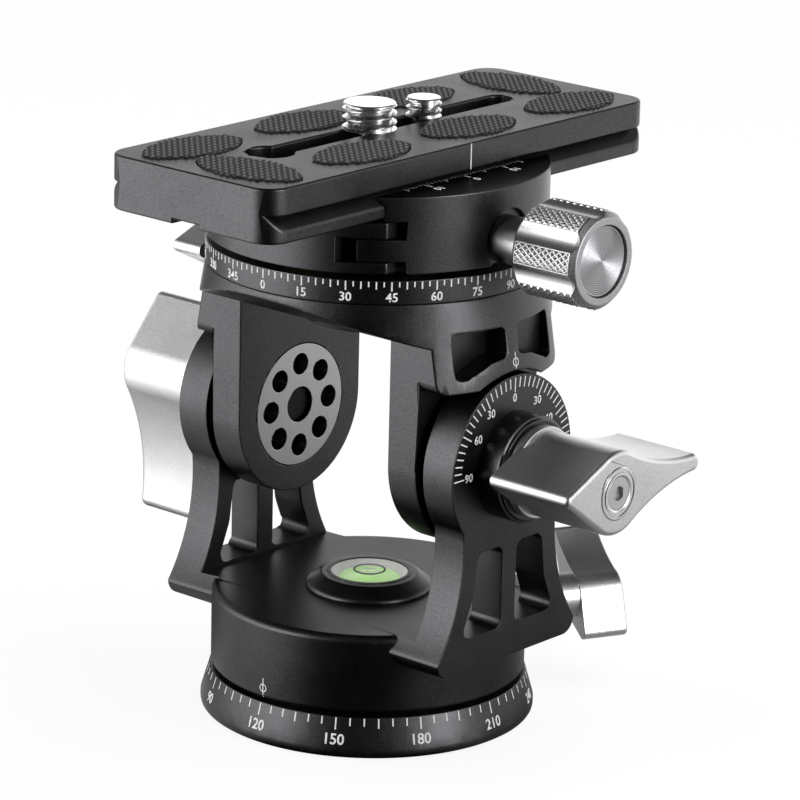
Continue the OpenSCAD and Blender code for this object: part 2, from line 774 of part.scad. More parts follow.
module large_cap_screw(x1) {
    socket_r = 1.4;
    socket_h = 0.7;
    color(steel) difference() {
        union() {
            bar(cap_screw_r, x1 - cap_screw_h, x1);
            bar(cap_screw_r / 2, x1 - cap_h - cap_screw_l, x1 - cap_screw_h / 2);
        }
        translate([x1 - socket_h, 0, 0]) rotate([0, 90, 0]) cylinder(r = socket_r, h = past, $fn = 6);
    }
}

// Small wing knob; x is the radius of the face that its collar stands on
module small_knob(x, standoff, length, turn) {
    x0 = x + standoff;
    neck_x = x + small_collar_h + face_gap;
    color(silver) rotate([turn, 0, 0]) difference() {
        union() {
            slab_x(x0, x0 + length) wing_outline(small_hub_r, small_tail, small_tail_r, 0,
                small_wing, small_tip_r, small_waist_r);
            bar(small_neck_r, neck_x, x0 + past);
        }
        bar(small_stem_r + seat_gap, neck_x - past, x0 + length / 2);
    }
}

// Stem from a small knob to its brake pad on a post
module small_stem(post, x, standoff, length) {
    color(steel) bar(small_stem_r, post + face_gap + brake_l, x + standoff + length / 2);
}

module brake_pad(post) {
    color(brass) bar(brake_r, post + face_gap, post + face_gap + brake_l);
}

// Side outline of a leg: round foot about the tilt axis and straight sides up to the deck
module leg_outline() {
    translate([0, tilt_z]) circle(r = leg_w);
    translate([-leg_w, tilt_z]) square([2 * leg_w, deck_top - tilt_z]);
}

// Outline of a pocket in a shoulder, on the +Y side of its middle
module shoulder_pocket_outline() {
    round_r = 1.2;
    offset(r = round_r, $fn = 24) offset(delta = -round_r) difference() {
        translate([pocket_in, tilt_z + pocket_low])
            square([pocket_out - pocket_in, pocket_high - pocket_low]);
        translate([0, tilt_z]) circle(r = pocket_arc_r);
    }
}

// Cone that bounds the deck's flank and the shoulders
module flank_cone() {
    translate([0, 0, shoulder_z]) cylinder(r1 = shoulder_r, r2 = ring_r, h = deck_top - shoulder_z);
}

// Shoulder over an arm: a slice of the flank cone, cleared round the top of the arm
module shoulder() {
    difference() {
        intersection() {
            flank_cone();
            slab_x(leg_in, shoulder_r + past) panel(leg_w, shoulder_z, deck_top, shoulder_round);
        }
        facing(0, tilt_z) bar(arm_top_r + shoulder_gap, leg_out, shoulder_r + past);
    }
}

// Tilting yoke: deck with a bowed belly, two legs and two shoulders
module yoke() {
    color(black) difference() {
        union() {
            intersection() {
                flank_cone();
                facing(0, belly_z + belly_r) bar(belly_r, -shoulder_r - past, shoulder_r + past);
            }
            translate([0, 0, deck_top - past]) cylinder(r = ring_in_r, h = ring_h + past);
            for (s = [0, 180]) facing(s, 0) {
                slab_x(leg_in, leg_out) leg_outline();
                shoulder();
            }
        }
        for (s = [0, 180]) facing(s, 0) {
            facing(0, tilt_z) bar(axle_r + seat_gap, leg_in - past, leg_out + past);
            facing(0, tilt_z) bar(axle_flange_r + seat_gap, leg_in - past, leg_in + axle_flange_h);
            for (m = [-1, 1])
                slab_x(pocket_floor, shoulder_r + past) scale([m, 1]) shoulder_pocket_outline();
        }
        translate([0, 0, belly_z - past]) cylinder(r = top_post_r + stem_gap, h = deck_h + ring_h + 2 * past);
        translate([0, 0, belly_z - past])
            cylinder(r = top_retainer_r + stem_gap, h = top_seat_z - belly_z + past);
        translate([0, 0, top_bush_z])
            cylinder(r = top_post_r + bush_wall + seat_gap, h = ring_top - top_bush_z + past);
        facing(180, top_knob_z) {
            bar(small_stem_r + stem_gap, 0, shoulder_r + past);
            bar(brake_r + run_gap, 0, top_post_r + brake_l + brake_room);
            bar(small_collar_r + seat_gap, top_knob_r - small_collar_seat, shoulder_r + past);
        }
    }
}

// Hollow axle with a drilled flange, let into the inside of a leg
module tilt_axle(angle) {
    holes = 8;
    color(silver) facing(angle, tilt_z) difference() {
        union() {
            bar(axle_flange_r, leg_in, leg_in + axle_flange_h);
            bar(axle_r, leg_in, arm_x - axle_short);
        }
        bar(axle_bore_r, leg_in - past, arm_x + past);
        for (i = [0:holes - 1]) rotate([i * 360 / holes, 0, 0]) translate([0, axle_hole_circle, 0])
            bar(axle_hole_r, leg_in - past, leg_in + axle_flange_h + past);
    }
}

module azimuth_ring() {
    color(black) tube(ring_r, ring_in_r + seat_gap, deck_top, ring_top);
}

module top_bush() {
    color(brass) tube(top_post_r + bush_wall, top_post_r + run_gap, top_bush_z, ring_top);
}

module top_washer() {
    rim = 2;
    color(brass) tube(ring_in_r - rim, top_flange_r + rim, ring_top, clamp_z - face_gap);
}

module top_collar() {
    facing(180, top_knob_z) small_collar(top_knob_r);
}

// Dovetail foot of the plate, grown sideways by a clearance and carried on down to a depth
module dovetail_outline(grow, z0) {
    half = plate_w / 2 + grow;
    polygon([[-half, z0], [half, z0], [half, groove_z0], [half - dovetail_depth, groove_z1],
        [dovetail_depth - half, groove_z1], [-half, groove_z0]]);
}

// Space that the plate's foot takes along the clamp
module plate_space(grow, z0) {
    translate([plate_x, -clamp_r - past, 0]) mirror([0, 1, 0]) rotate([90, 0, 0])
        linear_extrude(2 * (clamp_r + past)) dovetail_outline(grow, z0);
}

// Block from x outward, between two heights, as wide as the clamp
module beyond_x(x, z0, z1) {
    translate([x, -clamp_r - past, z0]) cube([clamp_r + past, 2 * (clamp_r + past), z1 - z0]);
}

// Guide pin places
module at_guides() {
    for (s = [-1, 1]) translate([0, s * guide_y, screw_z]) children();
}

// Turning clamp with the fixed jaw and the fixed fingers
module clamp_body() {
    color(black) difference() {
        translate([0, 0, clamp_z]) cylinder(r = clamp_r, h = floor_h + jaw_h);
        plate_space(seat_gap, floor_z);
        beyond_x(plate_x, floor_z, jaw_top + past);
        beyond_x(finger_end, clamp_z - past, jaw_top + past);
        beyond_x(jaw_finger_end - slot_gap, finger_z0 - jaw_gap, finger_z1 + jaw_gap);
        beyond_x(jaw_finger_end, lip_z - jaw_gap, floor_z + past);
        facing(0, screw_z) bar(screw_r + run_gap, screw_in - past, clamp_r);
        at_guides() bar(guide_r + seat_gap, guide_in, clamp_r);
        translate([0, 0, clamp_z - past]) cylinder(r = top_flange_r + seat_gap, h = top_flange_h + past);
        translate([0, 0, clamp_z]) cylinder(r = bolt_r + seat_gap, h = floor_h);
        translate([0, 0, floor_z - bolt_head_h]) cylinder(r = bolt_head_r + seat_gap, h = bolt_head_h + past);
    }
}

// Post that turns in the yoke, flanged into the clamp's underside
module top_post() {
    bolt_hole_z = top_seat_z + bolt_floor;
    color(steel) difference() {
        union() {
            translate([0, 0, clamp_z]) cylinder(r = top_flange_r, h = top_flange_h);
            translate([0, 0, top_seat_z - face_gap])
                cylinder(r = top_post_r, h = clamp_z - top_seat_z + past);
        }
        translate([0, 0, bolt_hole_z]) cylinder(r = bolt_r + seat_gap, h = clamp_z);
    }
}

module top_retainer() {
    socket_r = 3;
    socket_h = 1.1;
    color(steel) translate([0, 0, top_retainer_z]) difference() {
        cylinder(r = top_retainer_r, h = top_retainer_h);
        translate([0, 0, -past]) cylinder(r = socket_r, h = socket_h + past, $fn = 6);
    }
}

module clamp_bolt() {
    socket_r = 2.3;
    socket_h = 1.8;
    end_gap = 1;
    end_z = top_seat_z + bolt_floor + end_gap;
    head_z = floor_z - bolt_head_h;
    color(steel) difference() {
        union() {
            translate([0, 0, head_z]) cylinder(r = bolt_head_r, h = bolt_head_h - bolt_sink);
            translate([0, 0, end_z]) cylinder(r = bolt_r, h = head_z - end_z + past);
        }
        translate([0, 0, floor_z - socket_h]) cylinder(r = socket_r, h = socket_h, $fn = 6);
    }
}

module guide_pin(s) {
    color(steel) translate([0, s * guide_y, screw_z]) bar(guide_r, guide_in, guide_out);
}

// Sliding jaw: outer wall, dovetail lip and a finger between the fixed ones
module clamp_jaw() {
    color(black) difference() {
        intersection() {
            translate([0, 0, clamp_z]) cylinder(r = clamp_r, h = floor_h + jaw_h);
            union() {
                beyond_x(jaw_wall, clamp_z, jaw_top);
                beyond_x(jaw_finger_end, finger_z0, finger_z1);
                beyond_x(jaw_finger_end + jaw_gap, lip_z, jaw_top);
            }
        }
        plate_space(face_gap, lip_z - jaw_gap);
        facing(0, screw_z) {
            bar(screw_r + stem_gap, jaw_finger_end - past, clamp_r + past);
            bar(grip_seat_r, grip_seat_x, clamp_r + past);
        }
        at_guides() bar(guide_r + run_gap, jaw_finger_end - past, guide_out + face_gap);
    }
}

// Round knurled knob with smooth scallops and a turned neck
module clamp_grip() {
    x1 = grip_x + grip_l;
    neck_x = grip_seat_x + face_gap;
    color(silver) facing(0, screw_z) difference() {
        rotate([0, 90, 0]) rotate_extrude() polygon([[0, neck_x], [grip_neck_r, neck_x],
            [grip_neck_r, grip_x], [grip_r - grip_bevel, grip_x], [grip_r, grip_x + grip_bevel],
            [grip_r, x1 - grip_bevel], [grip_r - grip_bevel, x1], [0, x1]]);
        for (i = [0:scallops - 1]) rotate([(i + 0.5) * 360 / scallops, 0, 0])
            translate([0, 0, grip_r + scallop_r - scallop_depth]) bar(scallop_r, grip_x - past, x1 + past);
        bar(screw_r + seat_gap, neck_x - past, grip_x + grip_l / 2);
        bar(grip_cap_r + seat_gap, x1 - grip_cap_h - grip_cap_sink, x1 + past);
    }
}

module clamp_screw() {
    color(steel) facing(0, screw_z) bar(screw_r, screw_in, grip_x + grip_l / 2);
}

module grip_cap() {
    x1 = grip_x + grip_l - grip_cap_sink;
    color(silver) facing(0, screw_z) bar(grip_cap_r, x1 - grip_cap_h, x1);
}

// Plate outline seen from above, with rounded corners
module plate_outline() {
    half_w = plate_w / 2;
    half_l = plate_l / 2;
    square([plate_w - 2 * plate_round, plate_l], center = true);
    square([plate_w, plate_l - 2 * plate_round], center = true);
    for (x = [-1, 1], y = [-1, 1])
        translate([x * (half_w - plate_round), y * (half_l - plate_round)]) circle(r = plate_round);
}

// Dovetail groove along the +X side: open at +Y, closed at -Y by the run of a round cutter
module dovetail_groove() {
    half = plate_w / 2;
    translate([0, -groove_stop, 0]) mirror([0, 1, 0]) rotate([90, 0, 0]) linear_extrude(plate_l)
        polygon([[half, groove_z0], [half + past, groove_z0 - past], [half + past, groove_z1],
            [half - dovetail_depth, groove_z1]]);
    translate([half - dovetail_depth + groove_end_r, -groove_stop, groove_z0])
        cylinder(r1 = groove_end_r - dovetail_depth, r2 = groove_end_r, h = dovetail_depth);
}

// Pad outline: bowed long sides with blunt ends
module pad_outline(grow) {
    intersection() {
        circle(r = pad_l / 2 + grow);
        translate([pad_side_r - pad_w / 2, 0]) circle(r = pad_side_r + grow);
        translate([pad_w / 2 - pad_side_r, 0]) circle(r = pad_side_r + grow);
    }
}

module at_pad(i) {
    p = pad_places[i];
    translate([plate_x + p[0], p[1], plate_top - pad_seat]) rotate([0, 0, p[2]]) children();
}

// Quick-release plate with dovetail sides, screw slot and keyhole
module plate() {
    color(black) difference() {
        translate([plate_x, 0, plate_z]) difference() {
            linear_extrude(plate_h) plate_outline();
            translate([0, 0, -plate_z]) for (a = [0, 180]) rotate([0, 0, a]) dovetail_groove();
            translate([-slot_w / 2, -keyhole_y, -past])
                cube([slot_w, slot_half + keyhole_y, plate_h + 2 * past]);
            translate([0, slot_half, -past]) cylinder(r = slot_w / 2, h = plate_h + 2 * past);
            translate([0, -keyhole_y, -past]) cylinder(r = keyhole_r, h = plate_h + 2 * past);
            translate([-head_channel_w / 2, -slot_half, -past])
                cube([head_channel_w, 2 * slot_half, head_channel_h + past]);
            for (s = [-1, 1]) translate([0, s * slot_half, -past])
                cylinder(r = head_channel_w / 2, h = head_channel_h + past);
            translate([-under_groove_w / 2, -plate_l, -past])
                cube([under_groove_w, 2 * plate_l, under_groove_h + past]);
        }
        for (i = [0:pads - 1]) at_pad(i) linear_extrude(pad_seat + past) pad_outline(seat_gap);
    }
}

module pad(i) {
    color(soft_black) at_pad(i) linear_extrude(pad_seat + pad_rise) pad_outline(0);
}

// Captive camera screw: stud above the plate, neck in the slot and slotted head below
module camera_screw(r, h, y) {
    head_z = head_top - head_washer_h - face_gap - head_h;
    coin_slot_w = 1.4;
    coin_slot_h = 1;
    color(silver) translate([plate_x, y, 0]) difference() {
        union() {
            translate([0, 0, plate_top + face_gap]) cylinder(r = r, h = h - face_gap);
            translate([0, 0, head_z]) cylinder(r = neck_r, h = plate_top + 2 * face_gap - head_z);
            translate([0, 0, head_z]) cylinder(r = head_r, h = head_h);
        }
        translate([-head_r, -coin_slot_w / 2, head_z - past])
            cube([2 * head_r, coin_slot_w, coin_slot_h + past]);
    }
}

// Washer that carries a camera screw along the slot
module head_washer(y) {
    color(steel) translate([plate_x, y, 0])
        tube(head_r, neck_r + run_gap, head_top - head_washer_h, head_top);
}

base_dial();
pan_post();
pan_washer();
pan_retainer();
post_screw();
fork();
pan_bush();
level_boss();
level_vial();
tilt_bush(0);  // tilt_bush_r
tilt_bush(180);  // tilt_bush_l
tilt_collar(0);  // tilt_collar_r
tilt_collar(180);  // tilt_collar_l
pan_collar();
facing(pan_knob_angle, pan_knob_z) small_knob(body_r, pan_standoff, pan_l, pan_turn);  // pan_knob
facing(pan_knob_angle, pan_knob_z) small_stem(post_r, body_r, pan_standoff, pan_l);  // pan_stem
facing(pan_knob_angle, pan_knob_z) brake_pad(post_r);  // pan_brake
facing(0, tilt_z) large_knob(tilt_wing, tilt_standoff, tilt_l, tilt_turn, knob_tail_turn);  // tilt_knob
facing(0, tilt_z) large_stem(tilt_standoff, tilt_l);  // tilt_stem
facing(0, tilt_z) large_cap(tilt_face);  // tilt_cap
facing(0, tilt_z) large_cap_screw(tilt_face);  // tilt_cap_screw
facing(180, tilt_z) large_knob(drag_wing, drag_standoff, drag_l, drag_turn, -knob_tail_turn);  // drag_knob
facing(180, tilt_z) large_stem(drag_standoff, drag_l);  // drag_stem
facing(180, tilt_z) large_cap(drag_face);  // drag_cap
facing(180, tilt_z) large_cap_screw(drag_face);  // drag_cap_screw
yoke();
tilt_axle(0);  // tilt_axle_r
tilt_axle(180);  // tilt_axle_l
azimuth_ring();
top_bush();
top_washer();
top_collar();
facing(180, top_knob_z) small_knob(top_knob_r, top_standoff, top_l, top_turn);  // top_knob
facing(180, top_knob_z) small_stem(top_post_r, top_knob_r, top_standoff, top_l);  // top_stem
facing(180, top_knob_z) brake_pad(top_post_r);  // top_brake
clamp_body();
top_post();
top_retainer();
clamp_bolt();
guide_pin(-1);  // guide_pin_1
guide_pin(1);  // guide_pin_2
clamp_jaw();
clamp_grip();
clamp_screw();
grip_cap();
plate();
camera_screw(stud_38_r, stud_38_h, stud_38_y);  // stud_38
camera_screw(stud_14_r, stud_14_h, stud_14_y);  // stud_14
head_washer(stud_38_y);  // head_washer_38
head_washer(stud_14_y);  // head_washer_14
for (i = [0:pads - 1]) pad(i);
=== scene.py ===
# %% [markdown]
# # Dressing a two-way pan and tilt head
# The solids of the head are already made to size, so this lesson is about looks: it breaks the edges, cuts the
# threads and the knurl, prints the dials and gives every part its finish. Blender works in metres, in the frame
# of the solids, so a size in millimetres is written times MM. The box of the solids is kept.

import math

import bpy
from mathutils import Matrix, Vector


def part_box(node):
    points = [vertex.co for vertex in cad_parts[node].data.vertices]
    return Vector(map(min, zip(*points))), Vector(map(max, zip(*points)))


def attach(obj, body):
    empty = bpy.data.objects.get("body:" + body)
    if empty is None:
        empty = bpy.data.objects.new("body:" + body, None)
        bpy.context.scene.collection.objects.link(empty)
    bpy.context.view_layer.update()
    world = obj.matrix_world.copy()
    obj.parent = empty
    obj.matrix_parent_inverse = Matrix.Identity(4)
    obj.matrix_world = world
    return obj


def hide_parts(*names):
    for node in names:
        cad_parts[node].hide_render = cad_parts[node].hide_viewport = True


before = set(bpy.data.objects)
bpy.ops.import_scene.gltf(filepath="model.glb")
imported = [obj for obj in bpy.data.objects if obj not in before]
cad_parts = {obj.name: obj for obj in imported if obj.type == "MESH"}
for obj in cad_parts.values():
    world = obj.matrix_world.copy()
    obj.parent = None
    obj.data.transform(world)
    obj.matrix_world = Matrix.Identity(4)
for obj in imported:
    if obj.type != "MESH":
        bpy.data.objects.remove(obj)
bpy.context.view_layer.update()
MM = 0.001
scene = bpy.context.scene
scene.view_settings.view_transform = "Standard"

# %% [markdown]
# ## Camera
# A product picture of a small head is taken from far off with a long lens, which keeps the dials round and the
# arms parallel. The camera stands in front, to the right and a little above. Its place is given by a point, a
# heading, a dip and a small roll, because that is how a tripod is set.

# %% Camera
HEADING, DIP, ROLL = (math.radians(angle) for angle in (40.806, 16.699, 1.398))
CAMERA_PLACE = Vector((481.76, -550.78, 276.01)) * MM
FOCAL_LENGTH, SENSOR_WIDTH, NEAREST = 194.33, 36.0, 0.01

ahead = Vector((-math.sin(HEADING), math.cos(HEADING), 0))
view_line = math.cos(DIP) * ahead - math.sin(DIP) * Vector((0, 0, 1))
level_right = Vector((math.cos(HEADING), math.sin(HEADING), 0))
level_up = level_right.cross(view_line)
camera_right = math.cos(ROLL) * level_right + math.sin(ROLL) * level_up
camera_up = math.cos(ROLL) * level_up - math.sin(ROLL) * level_right

lens = bpy.data.cameras.new("long_lens")
lens.lens, lens.sensor_width, lens.clip_start = FOCAL_LENGTH, SENSOR_WIDTH, NEAREST
camera = bpy.data.objects.new("camera", lens)
scene.collection.objects.link(camera)
camera_turn = Matrix((camera_right, camera_up, -view_line)).transposed().to_4x4()
camera.matrix_world = Matrix.Translation(CAMERA_PLACE) @ camera_turn
scene.camera = camera
print("camera at", [round(v, 3) for v in camera.location])

# %% [markdown]
# ## Shader maths as expressions
# Finishes are made of shader nodes. Written by hand they are long, so one small class wraps a socket: adding or
# multiplying two of them adds a Math node, and `node` makes any other node from its settings and its sockets.

# %% Wires
class Wire:
    """An output socket of a node tree that can be used in sums."""

    def __init__(self, tree, socket=None):
        self.tree, self.socket = tree, socket

    def node(self, kind, sockets=None, out=0, stops=(), **settings):
        """Make a node: values or wires for its sockets, stops for a ramp, and its other settings."""
        made = self.tree.nodes.new(kind)
        for name, value in settings.items():
            setattr(made, name, value)
        for at, (place, colour) in enumerate(stops):
            marks = made.color_ramp.elements
            mark = marks[at] if at < len(marks) else marks.new(place)
            mark.position, mark.color = place, (*colour, 1)
        for name, value in (sockets or {}).items():
            if isinstance(value, Wire):
                self.tree.links.new(value.socket, made.inputs[name])
            else:
                made.inputs[name].default_value = value
        return Wire(self.tree, made.outputs[out])

    def math(self, operation, a, b):
        return self.node("ShaderNodeMath", {0: a, 1: b}, operation=operation)

    def into(self, node, name):
        self.tree.links.new(self.socket, node.inputs[name])

    def __add__(self, other):
        return self.math("ADD", self, other)

    def __sub__(self, other):
        return self.math("SUBTRACT", self, other)

    def __rsub__(self, other):
        return self.math("SUBTRACT", other, self)

    def __mul__(self, other):
        return self.math("MULTIPLY", self, other)

    def __truediv__(self, other):
        return self.math("DIVIDE", self, other)

    __radd__ = __add__
    __rmul__ = __mul__


def fade(wire, value, start, stop, first=0.0, last=1.0, curve="SMOOTHSTEP"):
    """Go from first to last while a value goes from start to stop."""
    return wire.node("ShaderNodeMapRange", {"Value": value, "From Min": start, "From Max": stop,
                                            "To Min": first, "To Max": last}, interpolation_type=curve)


print("wires ready")

# %% [markdown]
# ## Floor and light
# The head stands on a white sweep in a light tent. The camera sees floor and walls as pure white, with only a
# faint shadow. Dark metal is seen almost only by what it reflects, so what metal sees is worked out for each
# direction: brightest at the left, with a dark gap behind that wall, bright at the back and at the back right,
# and dark above and round the camera. Each card fades in between two cosines of the angle to its middle.

# %% Light tent
TO_CAMERA, TO_RIGHT = Vector((0.653, -0.757, 0)), Vector((0.757, 0.653, 0))
# Degrees to the right of the camera, cosine where the card starts, cosine where it is full, brightness.
LEFT_WALL, LEFT_GAP = (-85, 0.45, 0.92, 3.4), (-135, 0.85, 0.99, 0.3)
BACK_WALL, BACK_RIGHT = (180, 0.86, 0.97, 1.7), (130, 0.80, 0.97, 1.7)
CAMERA_CARD = (-8, 0.55, 0.95)
# Rise of the direction where the fade starts and stops, brightness before and after it.
ROOF, CAMERA_FOOT = (0.32, 0.66, 1.0, 0.05), (-0.22, 0.0, 0.40, 0.02)
DIFFUSE_LEVEL = 0.5


def tent(wire, towards):
    """How bright the tent is in a direction, where 1 is white."""
    def card(angle, start, full, level):
        turn = math.radians(angle)
        facing = math.cos(turn) * TO_CAMERA + math.sin(turn) * TO_RIGHT
        along = wire.node("ShaderNodeVectorMath", {0: towards, 1: facing}, out="Value",
                          operation="DOT_PRODUCT")
        return fade(wire, along, start, full, 1.0, level)

    rise = wire.node("ShaderNodeSeparateXYZ", {0: towards}, out="Z")
    walls = card(*LEFT_WALL) * card(*LEFT_GAP) * card(*BACK_WALL) * card(*BACK_RIGHT)
    return card(*CAMERA_CARD, fade(wire, rise, *CAMERA_FOOT)) * walls * fade(wire, rise, *ROOF)


def ray(wire, kind):
    """One for rays of a kind, and nought for others."""
    return wire.node("ShaderNodeLightPath", out="Is %s Ray" % kind)


room = bpy.data.worlds.new("light_tent")
room.use_nodes = True
scene.world = room
wire = Wire(room.node_tree)
seen = ray(wire, "Camera") + ray(wire, "Transmission")
mirrored = ray(wire, "Glossy") * tent(wire, wire.node("ShaderNodeTexCoord", out="Generated"))
backdrop = room.node_tree.nodes["Background"]
backdrop.inputs["Color"].default_value = (1, 1, 1, 1)
(seen + mirrored + ray(wire, "Diffuse") * DIFFUSE_LEVEL).into(backdrop, "Strength")
print("tent ready")

# %% White floor
FLOOR_SIZE, FLOOR_Z, FLOOR_GREY = 12, -0.0002, 0.82
# In metal the floor is darker near the foot: distances where the shade starts and stops, brightness there.
FOOT_SHADE = (0.05, 0.32, 0.25, 1.0)
SHADOW_KEPT = 0.1

bpy.ops.object.select_all(action="DESELECT")
bpy.ops.mesh.primitive_plane_add(size=FLOOR_SIZE, location=(0, 0, FLOOR_Z))
floor = bpy.context.object
floor.name = "floor"
sweep = bpy.data.materials.new("white_sweep")
sweep.use_nodes = True
sweep.node_tree.nodes.remove(sweep.node_tree.nodes["Principled BSDF"])
wire = Wire(sweep.node_tree)
place = wire.node("ShaderNodeTexCoord", out="Object")
reach = wire.node("ShaderNodeVectorMath", {0: place}, out="Value", operation="LENGTH")
level = tent(wire, wire.node("ShaderNodeVectorMath", {0: place}, operation="NORMALIZE"))
mirrored = ray(wire, "Glossy")
seen = ray(wire, "Camera") + ray(wire, "Transmission")
strength = seen + mirrored * level * fade(wire, reach, *FOOT_SHADE)
glow = wire.node("ShaderNodeEmission", {"Color": (1, 1, 1, 1), "Strength": strength})
paint = wire.node("ShaderNodeBsdfDiffuse", {"Color": (FLOOR_GREY, FLOOR_GREY, FLOOR_GREY, 1)})
share = seen * (1 - SHADOW_KEPT) + mirrored
mixed = wire.node("ShaderNodeMixShader", {0: share, 1: paint, 2: glow})
mixed.into(sweep.node_tree.nodes["Material Output"], "Surface")
floor.data.materials.append(sweep)
print("floor", [round(v, 2) for v in floor.dimensions])

# %% Lamps
HEAD_MIDDLE = Vector((0, 0, 0.06))


def softbox(name, place, width, height, watts):
    """An area lamp that is aimed at the middle of the head."""
    lamp = bpy.data.lights.new(name, "AREA")
    lamp.shape, lamp.size, lamp.size_y, lamp.energy = "RECTANGLE", width, height, watts
    box = bpy.data.objects.new(name, lamp)
    scene.collection.objects.link(box)
    box.location = place
    box.rotation_euler = (HEAD_MIDDLE - Vector(place)).to_track_quat("-Z", "Y").to_euler()
    return box


softbox("overhead", (0.30, 0.30, 0.95), 0.7, 0.7, 7).visible_glossy = False
softbox("left_wall", (-0.90, -0.60, 0.30), 1.0, 0.6, 12).visible_glossy = False
softbox("right_strip", (0.94, 0.08, 0.30), 0.36, 0.5, 4.5)
softbox("left_strip", (-0.30, -0.90, 0.27), 0.3, 0.4, 1.4)

# %% [markdown]
# ## Finishes
# The black parts are sand-blasted and anodised: a fine grain, a half-dull gloss and almost no colour. The collars
# are the same black, but turned smooth. The wing knobs are bead-blasted and clear-anodised, which looks like
# frosted silver. Turned faces show rings about their axis, so that finish is made once for each axis, and once
# more for the axles in a darker colour, which is painted shade.

# %% Finish helpers
finishes = {}
CLOUD = 9 * MM


def finish(name, colour, roughness, metallic=0.0):
    """A new material with its three plain values. Returns its shader, and a wire to build on."""
    material = bpy.data.materials.new(name)
    material.use_nodes = True
    shader = material.node_tree.nodes["Principled BSDF"]
    shader.inputs["Base Color"].default_value = (*colour, 1)
    shader.inputs["Roughness"].default_value = roughness
    shader.inputs["Metallic"].default_value = metallic
    finishes[name] = material
    return shader, Wire(material.node_tree)


def spot(wire):
    """The place on the piece, in the frame of the solids."""
    return wire.node("ShaderNodeTexCoord", out="Object")


def grain(wire, size, detail=2.0):
    """Fine noise whose grains are about size wide."""
    return wire.node("ShaderNodeTexNoise", {"Vector": spot(wire), "Scale": 1 / size, "Detail": detail})


def bump(wire, shader, height, depth):
    """Let a height from nought to one dent the surface by a depth."""
    dent = wire.node("ShaderNodeBump", {"Strength": 1.0, "Distance": depth, "Height": height})
    dent.into(shader, "Normal")


def blasted(name, dark, light, roughness, metallic, size, depth):
    """A blasted surface: grain in the bump, and a little of it in colour and gloss."""
    shader, wire = finish(name, dark, roughness, metallic)
    fine, cloud = grain(wire, size), grain(wire, CLOUD, 3.0)
    colour = wire.node("ShaderNodeValToRGB", {"Fac": 0.75 * fine + 0.25 * cloud},
                       stops=[(0.32, dark), (0.68, light)])
    colour.into(shader, "Base Color")
    (roughness + 0.16 * (cloud - 0.5) + 0.2 * (fine - 0.5)).into(shader, "Roughness")
    bump(wire, shader, fine, depth)
    return shader


def ringed(name, colour, roughness, axis_z, pitch, depth):
    """A turned metal face: rings about a line along X at a height."""
    shader, wire = finish(name, colour, roughness, 1.0)
    offset = wire.node("ShaderNodeVectorMath", {0: spot(wire), 1: (0, 0, axis_z)}, operation="SUBTRACT")
    across = wire.node("ShaderNodeVectorMath", {0: offset, 1: (0, 1, 1)}, operation="MULTIPLY")
    radius = wire.node("ShaderNodeVectorMath", {0: across}, out="Value", operation="LENGTH")
    groove = wire.node("ShaderNodeTexNoise", {"W": radius / pitch, "Scale": 1.0, "Detail": 2.0},
                       noise_dimensions="1D")
    (roughness + 0.16 * (groove - 0.5)).into(shader, "Roughness")
    bump(wire, shader, groove, depth)


print("finish helpers ready")

# %% Metals and prints
TILT_Z, GRIP_Z = 51.8, 91.4
METALS = [  # name, darker and lighter colour, roughness, size and depth of the grain
    ("black_smooth", (0.055, 0.055, 0.058), (0.075, 0.075, 0.078), 0.26, 0.12, 0.002),
    ("frosted_silver", (0.55, 0.55, 0.56), (0.70, 0.70, 0.71), 0.40, 0.28, 0.022),
    ("polished_steel", (0.70, 0.70, 0.71), (0.82, 0.82, 0.83), 0.16, 0.08, 0.001),
    ("plain_steel", (0.45, 0.45, 0.46), (0.60, 0.60, 0.61), 0.36, 0.15, 0.004),
    # This black is darker than the oxide alone: partly the oxide's own colour, partly painted shade for the deep
    # holes in which the ends of the stems are seen.
    ("black_oxide_and_shade", (0.010, 0.010, 0.011), (0.018, 0.018, 0.019), 0.42, 0.15, 0.004),
    ("bronze", (0.38, 0.24, 0.11), (0.52, 0.34, 0.17), 0.40, 0.20, 0.004),
]
PRINTS = [
    ("white_print", (0.50, 0.50, 0.50), (0.74, 0.74, 0.74), 0.60, 0.12, 0.002),
    ("black_print", (0.012, 0.012, 0.012), (0.022, 0.022, 0.022), 0.50, 0.12, 0.002),
]
TURNED = [  # name, colour, roughness, height of the axis, pitch and depth of the rings
    ("turned_x_tilt", (0.72, 0.72, 0.73), 0.26, TILT_Z, 0.16, 0.006),
    # The axles get a darker colour than the caps: painted shade, where the legs of the yoke keep the light off
    # them.
    ("turned_x_axle_shaded", (0.36, 0.36, 0.37), 0.28, TILT_Z, 0.16, 0.006),
    ("turned_x_grip", (0.30, 0.30, 0.31), 0.34, GRIP_Z, 0.60, 0.002),
]
black = blasted("black_anodised", (0.040, 0.040, 0.042), (0.080, 0.080, 0.083), 0.36, 1.0,
                0.22 * MM, 0.018 * MM)
# Seen edge-on, anodised metal mirrors a little less than bare metal.
black.inputs["Specular Tint"].default_value = (0.78, 0.78, 0.78, 1)
for metallic, rows in ((1.0, METALS), (0.0, PRINTS)):
    for name, dark, light, roughness, size, depth in rows:
        blasted(name, dark, light, roughness, metallic, size * MM, depth * MM)
for name, colour, roughness, axis_z, pitch, depth in TURNED:
    ringed(name, colour, roughness, axis_z * MM, pitch * MM, depth * MM)
print("finishes:", ", ".join(sorted(finishes)))

# %% [markdown]
# Two finishes change along the part. The rubber's colour follows the height: a painted highlight on the tips of
# the pads' pyramids and painted shade in the valleys between them. The knob of the clamp is bright where it is
# knurled and duller on its end, which the lathe faced.

# %% Rubber and grip silver
PAD_VALLEYS_Z, PAD_TIPS_Z = 106.66, 107.08
KNURL_END_X, FACED_END_X = 49.55, 49.65

